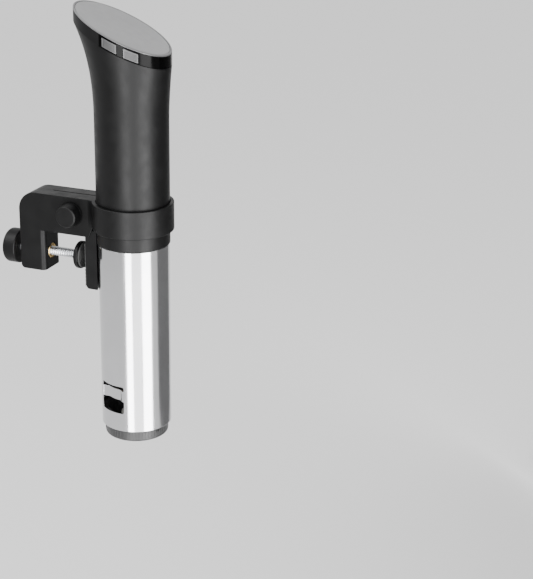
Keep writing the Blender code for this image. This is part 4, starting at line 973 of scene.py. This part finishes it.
def loft(name, rings, closed, steps=160):
    """Skin through slanted rings: one circle extruded from ring to ring."""
    x, z, length, width, tilt = rings[0]
    clear_selection()
    bpy.ops.mesh.primitive_circle_add(vertices=steps, radius=length, location=(x, 0.0, z))
    item = bpy.context.object
    item.name = name
    settle(item)
    edit(item)
    bpy.ops.mesh.select_mode(type="VERT")
    select_all()
    bpy.ops.transform.resize(value=(1.0, width / length, 1.0), center_override=(x, 0.0, z))
    bpy.ops.transform.rotate(value=tilt, orient_axis="Y", orient_type="GLOBAL", center_override=(x, 0.0, z))
    path = rings[1:] + ([rings[0]] if closed else [])
    for x2, z2, length2, width2, tilt2 in path:
        bpy.ops.mesh.extrude_region_move(TRANSFORM_OT_translate={"value": (x2 - x, 0.0, z2 - z)})
        centre = (x2, 0.0, z2)
        bpy.ops.transform.rotate(value=-tilt, orient_axis="Y", orient_type="GLOBAL", center_override=centre)
        bpy.ops.transform.resize(value=(length2 / length, width2 / width, 1.0), center_override=centre)
        bpy.ops.transform.rotate(value=tilt2, orient_axis="Y", orient_type="GLOBAL", center_override=centre)
        x, z, length, width, tilt = x2, z2, length2, width2, tilt2
    select_all()
    bpy.ops.mesh.remove_doubles(threshold=1e-6)
    if not closed:
        bpy.ops.mesh.select_all(action="DESELECT")
        bpy.ops.mesh.select_non_manifold()
        bpy.ops.mesh.fill_holes(sides=0)
    leave_outward()
    return item


def wall(name, head, rises, outer, inner):
    """Closed wall that follows the housing between two depths."""
    rings = [head.ring(rise, outer) for rise in rises] + [head.ring(rise, inner) for rise in reversed(rises)]
    return loft(name, rings, closed=True)


def wedge(name, head, start, end, bottom, top, inside=0.7, outside=1.3):
    """Sector from one angle to another, in degrees, cut off parallel to the slanted top."""
    count = max(4, int(abs(end - start) / 3.0))
    angles = [math.radians(start + (end - start) * index / count) for index in range(count + 1)]
    plan = [head.plan(angle, outside) for angle in angles] + [
        head.plan(angle, inside) for angle in reversed(angles)
    ]
    base = head.toe_z - 40.0 * MM
    item = slab(name, [(x, y, base) for x, y in plan], (0.0, 0.0, head.tip_z + 30.0 * MM - base))
    upward = Vector((-head.slope.z, 0.0, head.slope.x)).normalized()
    for rise, direction in ((bottom, -upward), (top, upward)):
        edit(item)
        select_all()
        bpy.ops.mesh.bisect(
            plane_co=(head.tip_x, 0.0, rise), plane_no=direction, use_fill=True, clear_inner=False,
            clear_outer=True,
        )
        leave_outward()
    return item


VENTS = {
    "near_rear": (-92.4, -74.3), "near_front": (-67.3, -49.0), "far_rear": (74.3, 92.4),
    "far_front": (49.0, 67.3),
}
TRIM_SPAN = 95.0


class CIRC_OT_housing(Operator):
    """Flared housing with its trim band, rim, screen and vent grilles"""

    bl_idname = "circ.housing"
    bl_label = "Housing"

    def execute(self, context):
        head = Head()
        rim = head.tip_z - 1.2 * MM
        sill = head.band_tip + 0.7 * MM
        lintel = rim - 1.4 * MM
        bottom = low("head_housing").z
        rises = [bottom + 0.5 * MM] + [
            head.start + (head.band_tip - head.start) * k / 28.0 for k in range(29)
        ]
        rises += [head.band_tip + 0.35 * MM, rim]
        rings = [head.ring(bottom, 0.5 * MM)] + [head.ring(rise, 0.0) for rise in rises]
        rings += [
            head.ring(rise, HOUSING_WALL) for rise in reversed(rises)
        ] + [head.ring(bottom, HOUSING_WALL)]
        shell = loft("head_housing_fine", rings, closed=True)
        bed = wall("bed", head, [head.band_tip - FIT, head.tip_z + 3.0 * MM], -5.0 * MM, 1.5 * MM)
        boolean(
            bed,
            wedge(
                "sector", head, -TRIM_SPAN - 0.5, TRIM_SPAN + 0.5, head.band_tip - 9.0 * MM,
                head.tip_z + 9.0 * MM,
            ),
            "INTERSECT",
        )
        boolean(shell, bed, "DIFFERENCE")
        for span in VENTS.values():
            boolean(shell, wedge("hole", head, *span, sill, lintel), "DIFFERENCE")
        gland = middle("cord_gland")
        drill(shell, GLAND_HOLE_R, 20.0 * MM, (gland.x, 0.0, gland.z), OUT, 48)
        soften(shell, 0.18 * MM, 2, 40.0)
        keep(shell, "circulator", "matte_black", "head_housing", angle=24.0)

        trim = wall("trim_band_fine", head, [head.band_tip + FIT, rim], 0.0, TRIM_THICK)
        boolean(
            trim,
            wedge("sector", head, -TRIM_SPAN, TRIM_SPAN, head.band_tip - 9.0 * MM, head.tip_z + 9.0 * MM),
            "INTERSECT",
        )
        for span in VENTS.values():
            boolean(trim, wedge("hole", head, *span, sill, lintel), "DIFFERENCE")
        soften(trim, 0.15 * MM, 2, 40.0)
        keep(trim, "circulator", "gloss_black", "trim_band", angle=24.0)

        inset = math.degrees(FIT / Head.TUBE_R)
        frame_wide = math.degrees(0.8 * MM / Head.TUBE_R)
        louvres = []
        pitch = (lintel - sill - 2.0 * MM) / LOUVRES
        for index in range(LOUVRES):
            start = sill + 1.0 * MM + pitch * (index + 0.16)
            louvres.append(wall("louvre", head, [start, start + pitch * 0.68], 0.55 * MM, 1.5 * MM))
        louvre_set = fuse("louvres", *louvres)
        plate = wall("plate", head, [sill + FIT, lintel - FIT], 0.12 * MM, 1.7 * MM)
        for name, (start, end) in VENTS.items():
            window = copy_of(plate)
            boolean(
                window, wedge("span", head, start + inset, end - inset, sill - 1.0 * MM, lintel + 1.0 * MM),
                "INTERSECT",
            )
            inner = (start + inset + frame_wide, end - inset - frame_wide)
            boolean(window, wedge("clear", head, *inner, sill + 1.0 * MM, lintel - 1.0 * MM), "DIFFERENCE")
            soften(window, 0.12 * MM, 2, 40.0)
            bars = copy_of(louvre_set)
            boolean(bars, wedge("reach", head, inner[0] - 0.3, inner[1] + 0.3, sill, lintel), "INTERSECT")
            fuse(f"vent_grille_{name}_fine", window, bars)
            keep(window, "circulator", "vent_grey", f"vent_grille_{name}", angle=24.0)
        for spare in (louvre_set, plate):
            pick(spare)
            bpy.ops.object.delete()

        edge = BEZEL_WIDTH
        rings = [head.ring(head.tip_z - BEZEL_THICK, 0.0), head.ring(head.tip_z - 0.55 * MM, 0.0)]
        for a, b in arc((0.55, 0.55), 0.55, 180.0, 90.0, 6)[1:]:
            rings.append(head.ring(head.tip_z - 1.1 * MM + b * MM, a * MM))
        rings += [head.ring(head.tip_z, edge), head.ring(head.tip_z - BEZEL_THICK, edge)]
        bezel = loft("display_bezel_fine", rings, closed=True)
        keep(bezel, "circulator", "display_grey", "display_bezel", angle=40.0, paint="bezel")

        edge += FIT
        seat = head.tip_z - BEZEL_THICK
        rings = [head.ring(head.tip_z - 2.6 * MM, 2.7 * MM), head.ring(seat, 2.7 * MM), head.ring(seat, edge)]
        for a, b in arc((0.5, 0.0), 0.5, 180.0, 90.0, 6):
            rings.append(head.ring(head.tip_z - 0.5 * MM + b * MM, edge + a * MM))
        lens = loft("display_lens_fine", rings, closed=False)
        keep(lens, "circulator", "display_grey", "display_lens", angle=40.0)
        return {"FINISHED"}


class CIRC_OT_gland(Operator):
    """Ribbed rubber gland where the mains cord leaves"""

    bl_idname = "circ.gland"
    bl_label = "Cord gland"

    def execute(self, context):
        a, b = low("cord_gland"), high("cord_gland")
        r = (b.y - a.y) / 2.0
        depth = b.x - a.x
        profile = arc((r - 0.6 * MM, -0.6 * MM), 0.6 * MM, 90.0, 0.0, 4)
        profile += [(r, -3.4 * MM), (r - 1.0 * MM, -depth), (3.3 * MM, -depth), (3.3 * MM, -0.5 * MM)]
        profile += arc((3.8 * MM, -0.5 * MM), 0.5 * MM, 180.0, 90.0, 4)[1:]
        lathe("cord_gland", profile, 64, (a.x, 0.0, (a.z + b.z) / 2.0), OUT, "circulator", "rubber", 35.0)
        return {"FINISHED"}


# ---- heater and rotor -------------------------------------------------------------------------
class CIRC_OT_heater(Operator):
    """Sheathed heater, temperature probe, level rods and the skirt's seal"""

    bl_idname = "circ.heater"
    bl_label = "Heater"

    def execute(self, context):
        a, b = low("heater_coil"), high("heater_coil")
        r = COIL_TUBE_R
        coil_r = (b.y - a.y) / 2.0 - r
        start = math.radians(-30.0)
        first_z = low("skirt").z + COIL_RISE
        steps = 60
        turn_points = []
        for index in range(steps + 1):
            angle = start + math.tau * COIL_TURNS * index / steps
            rise = COIL_PITCH * COIL_TURNS * index / steps
            turn_points.append(polar(angle) * coil_r + UP * (first_z + rise))
        radial = polar(start)
        tangent = UP.cross(radial)
        clear_z = first_z + COIL_PITCH * COIL_TURNS + 16.0 * MM
        inner = radial * (coil_r - 2.0 * r - 1.0 * MM) - tangent * 1.9 * r
        dive = turn_points[0] - (tangent * 1.6 + radial * 0.6) * r
        leg_in = [
            radial * coil_r + UP * b.z, radial * coil_r + UP * (b.z - 10.0 * MM),
            radial * coil_r + UP * (clear_z + 16.0 * MM),
            inner + UP * clear_z, inner + UP * (first_z + 3.0 * r), inner + UP * (first_z + r), dive,
        ]
        end = start + math.tau * COIL_TURNS
        end_radial = polar(end)
        end_tangent = UP.cross(end_radial)
        last = turn_points[-1]
        leg_out = [
            last + (end_tangent + UP) * r, end_radial * coil_r + UP * (last.z + 16.0 * MM),
            end_radial * coil_r + UP * (b.z - 10.0 * MM), end_radial * coil_r + UP * b.z,
        ]
        path = leg_in + turn_points + leg_out
        clear_selection()
        bpy.ops.curve.primitive_nurbs_path_add(location=(0.0, 0.0, 0.0))
        coil = bpy.context.object
        coil.name = "heater_coil_fine"
        spline = coil.data.splines[0]
        spline.points.add(len(path) - len(spline.points))
        for point, spot in zip(spline.points, path):
            point.co = (spot.x + AXIS_X, spot.y, spot.z, 1.0)
        spline.order_u = 3
        spline.use_endpoint_u = True
        spline.resolution_u = 4
        coil.data.bevel_depth = r
        coil.data.bevel_resolution = 6
        coil.data.use_fill_caps = True
        pick(coil)
        bpy.ops.object.convert(target="MESH")
        keep(coil, "circulator", "stainless_steel", "heater_coil", angle=50.0, weighted=False, paint="heater")
        for name in ("temperature_probe", "low_level_rod", "high_level_rod"):
            a, b = low(name), high(name)
            r = (b.y - a.y) / 2.0
            profile = [(0.0, b.z), (r, b.z)] + arc((0.0, a.z + r), r, 0.0, -90.0, 8)[:-1] + [(0.0, a.z)]
            rod = turned(f"{name}_fine", profile, 40)
            place(rod, Matrix.Translation(((a.x + b.x) / 2.0, (a.y + b.y) / 2.0, 0.0)))
            keep(rod, "circulator", "stainless_steel", name, angle=40.0)
        a, b = low("skirt_o_ring"), high("skirt_o_ring")
        minor = (b.z - a.z) / 2.0
        clear_selection()
        bpy.ops.mesh.primitive_torus_add(
            major_radius=(b.x - a.x) / 2.0 - minor, minor_radius=minor, major_segments=128, minor_segments=16,
            location=(AXIS_X, 0.0, (a.z + b.z) / 2.0),
        )
        seal = bpy.context.object
        seal.name = "skirt_o_ring_fine"
        keep(seal, "skirt_seal", "rubber", "skirt_o_ring", angle=50.0, weighted=False)
        return {"FINISHED"}


class CIRC_OT_impeller(Operator):
    """Impeller with swept blades on the end of the shaft"""

    bl_idname = "circ.impeller"
    bl_label = "Impeller"

    def execute(self, context):
        a, b = low("impeller"), high("impeller")
        r = (b.x - a.x) / 2.0
        plate_top = a.z + 1.6 * MM
        profile = [
            (0.0, plate_top), (2.8 * MM, plate_top), (2.8 * MM, b.z), (4.4 * MM, b.z),
            (5.0 * MM, b.z - 0.6 * MM),
        ]
        profile += arc((6.2 * MM, plate_top + 1.2 * MM), 1.2 * MM, 180.0, 270.0, 5)
        profile += [
            (r - 0.5 * MM, plate_top), (r, plate_top - 0.5 * MM), (r, a.z + 0.5 * MM), (r - 0.5 * MM, a.z),
            (0.0, a.z),
        ]
        hub = turned("impeller_fine", profile, 80)
        outer = []
        inner = []
        for index in range(13):
            share = index / 12.0
            radius = 4.4 * MM + (r - 1.0 * MM - 4.4 * MM) * share
            angle = -0.75 * share ** 1.3
            outer.append((radius * math.cos(angle), radius * math.sin(angle), a.z + 0.8 * MM))
            turn = angle + 1.0 * MM / radius
            inner.append((radius * math.cos(turn), radius * math.sin(turn), a.z + 0.8 * MM))
        blade = slab("blade", outer + list(reversed(inner)), (0.0, 0.0, b.z - 1.0 * MM - a.z - 0.8 * MM))
        soften(blade, 0.2 * MM, 2, 50.0)
        fuse("impeller_fine", hub, spread("blades", blade, BLADES))
        to_axis(hub)
        keep(hub, "rotor", "white_plastic", "impeller", angle=35.0)
        return {"FINISHED"}


# ---- stage ------------------------------------------------------------------------------------
class CameraSpot:
    """Where the camera stands and how it looks; it aims at a point below the ring's top."""

    AZIMUTH = math.radians(21.47)
    ELEVATION = math.radians(20.35)
    ROLL = math.radians(0.79)
    DISTANCE = 1.285
    ASIDE = -112.06 * MM
    RAISED = 49.11 * MM
    FOCAL = 1523.3
    IMAGE_WIDTH = 533.0
    SENSOR = 36.0
    AIM_DROP = 27.0 * MM


WHITE = (1.0, 1.0, 1.0, 1.0)
# name, azimuth in degrees, width in metres and share of the full glow
STRIPS = (("left", -82.0, 0.24, 1.0), ("middle", -57.0, 0.34, 0.22), ("right", -26.0, 0.38, 1.0))


class CIRC_OT_stage(Operator):
    """Pale floor, soft lights and the camera"""

    bl_idname = "circ.stage"
    bl_label = "Stage"

    def execute(self, context):
        look = context.scene.circ_stage
        floor_z = low("end_cap").z - look.floor_drop
        clear_selection()
        bpy.ops.mesh.primitive_plane_add(size=60.0, location=(0.0, 0.0, floor_z))
        floor = bpy.context.object
        floor.name = "floor"
        settle(floor)
        paint = Paint("Floor", (0.86, 0.86, 0.86), 0.8)
        paint.vary_roughness(paint.noise(3.0), 0.05)
        floor.data.materials.append(paint.data)
        world = bpy.data.worlds.new("studio")
        world.use_nodes = True
        sky = world.node_tree.nodes["Background"]
        sky.inputs["Color"].default_value = WHITE
        sky.inputs["Strength"].default_value = look.sky
        context.scene.world = world
        centre = Vector((AXIS_X, 0.0, 0.05))
        self.light("key", centre, -140.0, 50.0, 1.5, (1.0, 1.0), look.key)
        self.light("fill", centre, 10.0, 35.0, 1.8, (1.2, 1.2), look.key * 0.35)
        for name, azimuth, wide, share in STRIPS:
            strip = self.light(
                f"strip_{name}", centre, azimuth, -8.0, 0.75, (wide, 1.0), look.strip * share * wide,
            )
            strip.visible_diffuse = False  # only the polished and moulded surfaces mirror them
        self.card("card_right", centre, 48.0, 0.80, (1.05, 1.2))
        self.camera(context)
        return {"FINISHED"}

    def light(self, name, centre, azimuth, elevation, distance, extent, power):
        lift = math.radians(elevation)
        direction = polar(math.radians(azimuth)) * math.cos(lift) + UP * math.sin(lift)
        bpy.ops.object.light_add(type="AREA", location=centre + direction * distance)
        lamp = bpy.context.object
        lamp.name = name
        lamp.rotation_euler = direction.to_track_quat("Z", "Y").to_euler()
        lamp.data.shape = "RECTANGLE"
        lamp.data.size = extent[0]
        lamp.data.size_y = extent[1]
        lamp.data.energy = power
        return lamp

    def card(self, name, centre, azimuth, distance, extent):
        """Dark card that darkens one side of the polished tube, unseen by the camera."""
        direction = polar(math.radians(azimuth))
        clear_selection()
        bpy.ops.mesh.primitive_plane_add(size=1.0)
        card = bpy.context.object
        card.name = name
        place(card, along(centre + direction * distance, direction) @ Matrix.Diagonal((*extent, 1.0, 1.0)))
        card.data.materials.append(Paint("Card", (0.16, 0.16, 0.16), 0.9).data)
        card.visible_camera = False

    def camera(self, context):
        a, e, roll = CameraSpot.AZIMUTH, CameraSpot.ELEVATION, CameraSpot.ROLL
        back = Vector((math.sin(a) * math.cos(e), -math.cos(a) * math.cos(e), math.sin(e)))
        right = polar(a)
        up = back.cross(right)
        across = right * math.cos(roll) + up * math.sin(roll)
        above = up * math.cos(roll) - right * math.sin(roll)
        focus = Vector((AXIS_X, 0.0, RING_TOP - CameraSpot.AIM_DROP))
        spot = focus + back * CameraSpot.DISTANCE - across * CameraSpot.ASIDE - above * CameraSpot.RAISED
        bpy.ops.object.camera_add(location=spot)
        camera = bpy.context.object
        camera.rotation_euler = Matrix((across, above, back)).transposed().to_euler()
        camera.data.sensor_fit = "HORIZONTAL"
        camera.data.sensor_width = CameraSpot.SENSOR
        camera.data.lens = CameraSpot.SENSOR * CameraSpot.FOCAL / CameraSpot.IMAGE_WIDTH
        camera.data.clip_start = 0.01
        context.scene.camera = camera


class CIRC_PT_panel(Panel):
    """Buttons that build the circulator piece by piece"""

    bl_idname = "CIRC_PT_panel"
    bl_label = "Circulator"
    bl_space_type = "VIEW_3D"
    bl_region_type = "UI"
    bl_category = "Circulator"

    def draw(self, context):
        for operator in OPERATORS:
            self.layout.operator(operator.bl_idname)


SETTINGS = (
    ("circ_clamp", ClampSettings),
    ("circ_skirt", SkirtSettings),
    ("circ_stage", StageSettings),
)
OPERATORS = (
    CIRC_OT_finish_frame, CIRC_OT_clamp, CIRC_OT_clamp_screw, CIRC_OT_jaw_pad, CIRC_OT_ring_screw,
    CIRC_OT_skirt, CIRC_OT_end_cap, CIRC_OT_housing, CIRC_OT_gland, CIRC_OT_heater, CIRC_OT_impeller,
    CIRC_OT_stage,
)


def register():
    for name, kind in SETTINGS:
        bpy.utils.register_class(kind)
        setattr(bpy.types.Scene, name, PointerProperty(type=kind))
    for operator in OPERATORS:
        bpy.utils.register_class(operator)
    bpy.utils.register_class(CIRC_PT_panel)


def unregister():
    bpy.utils.unregister_class(CIRC_PT_panel)
    for operator in reversed(OPERATORS):
        bpy.utils.unregister_class(operator)
    for name, kind in reversed(SETTINGS):
        delattr(bpy.types.Scene, name)
        bpy.utils.unregister_class(kind)


def main():
    register()
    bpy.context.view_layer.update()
    bpy.ops.circ.finish_frame()
    bpy.ops.circ.clamp()
    bpy.ops.circ.clamp_screw()
    bpy.ops.circ.jaw_pad()
    bpy.ops.circ.ring_screw()
    bpy.ops.circ.skirt()
    bpy.ops.circ.end_cap()
    bpy.ops.circ.housing()
    bpy.ops.circ.gland()
    bpy.ops.circ.heater()
    bpy.ops.circ.impeller()
    bpy.ops.circ.stage()


if __name__ == "__main__":
    main()
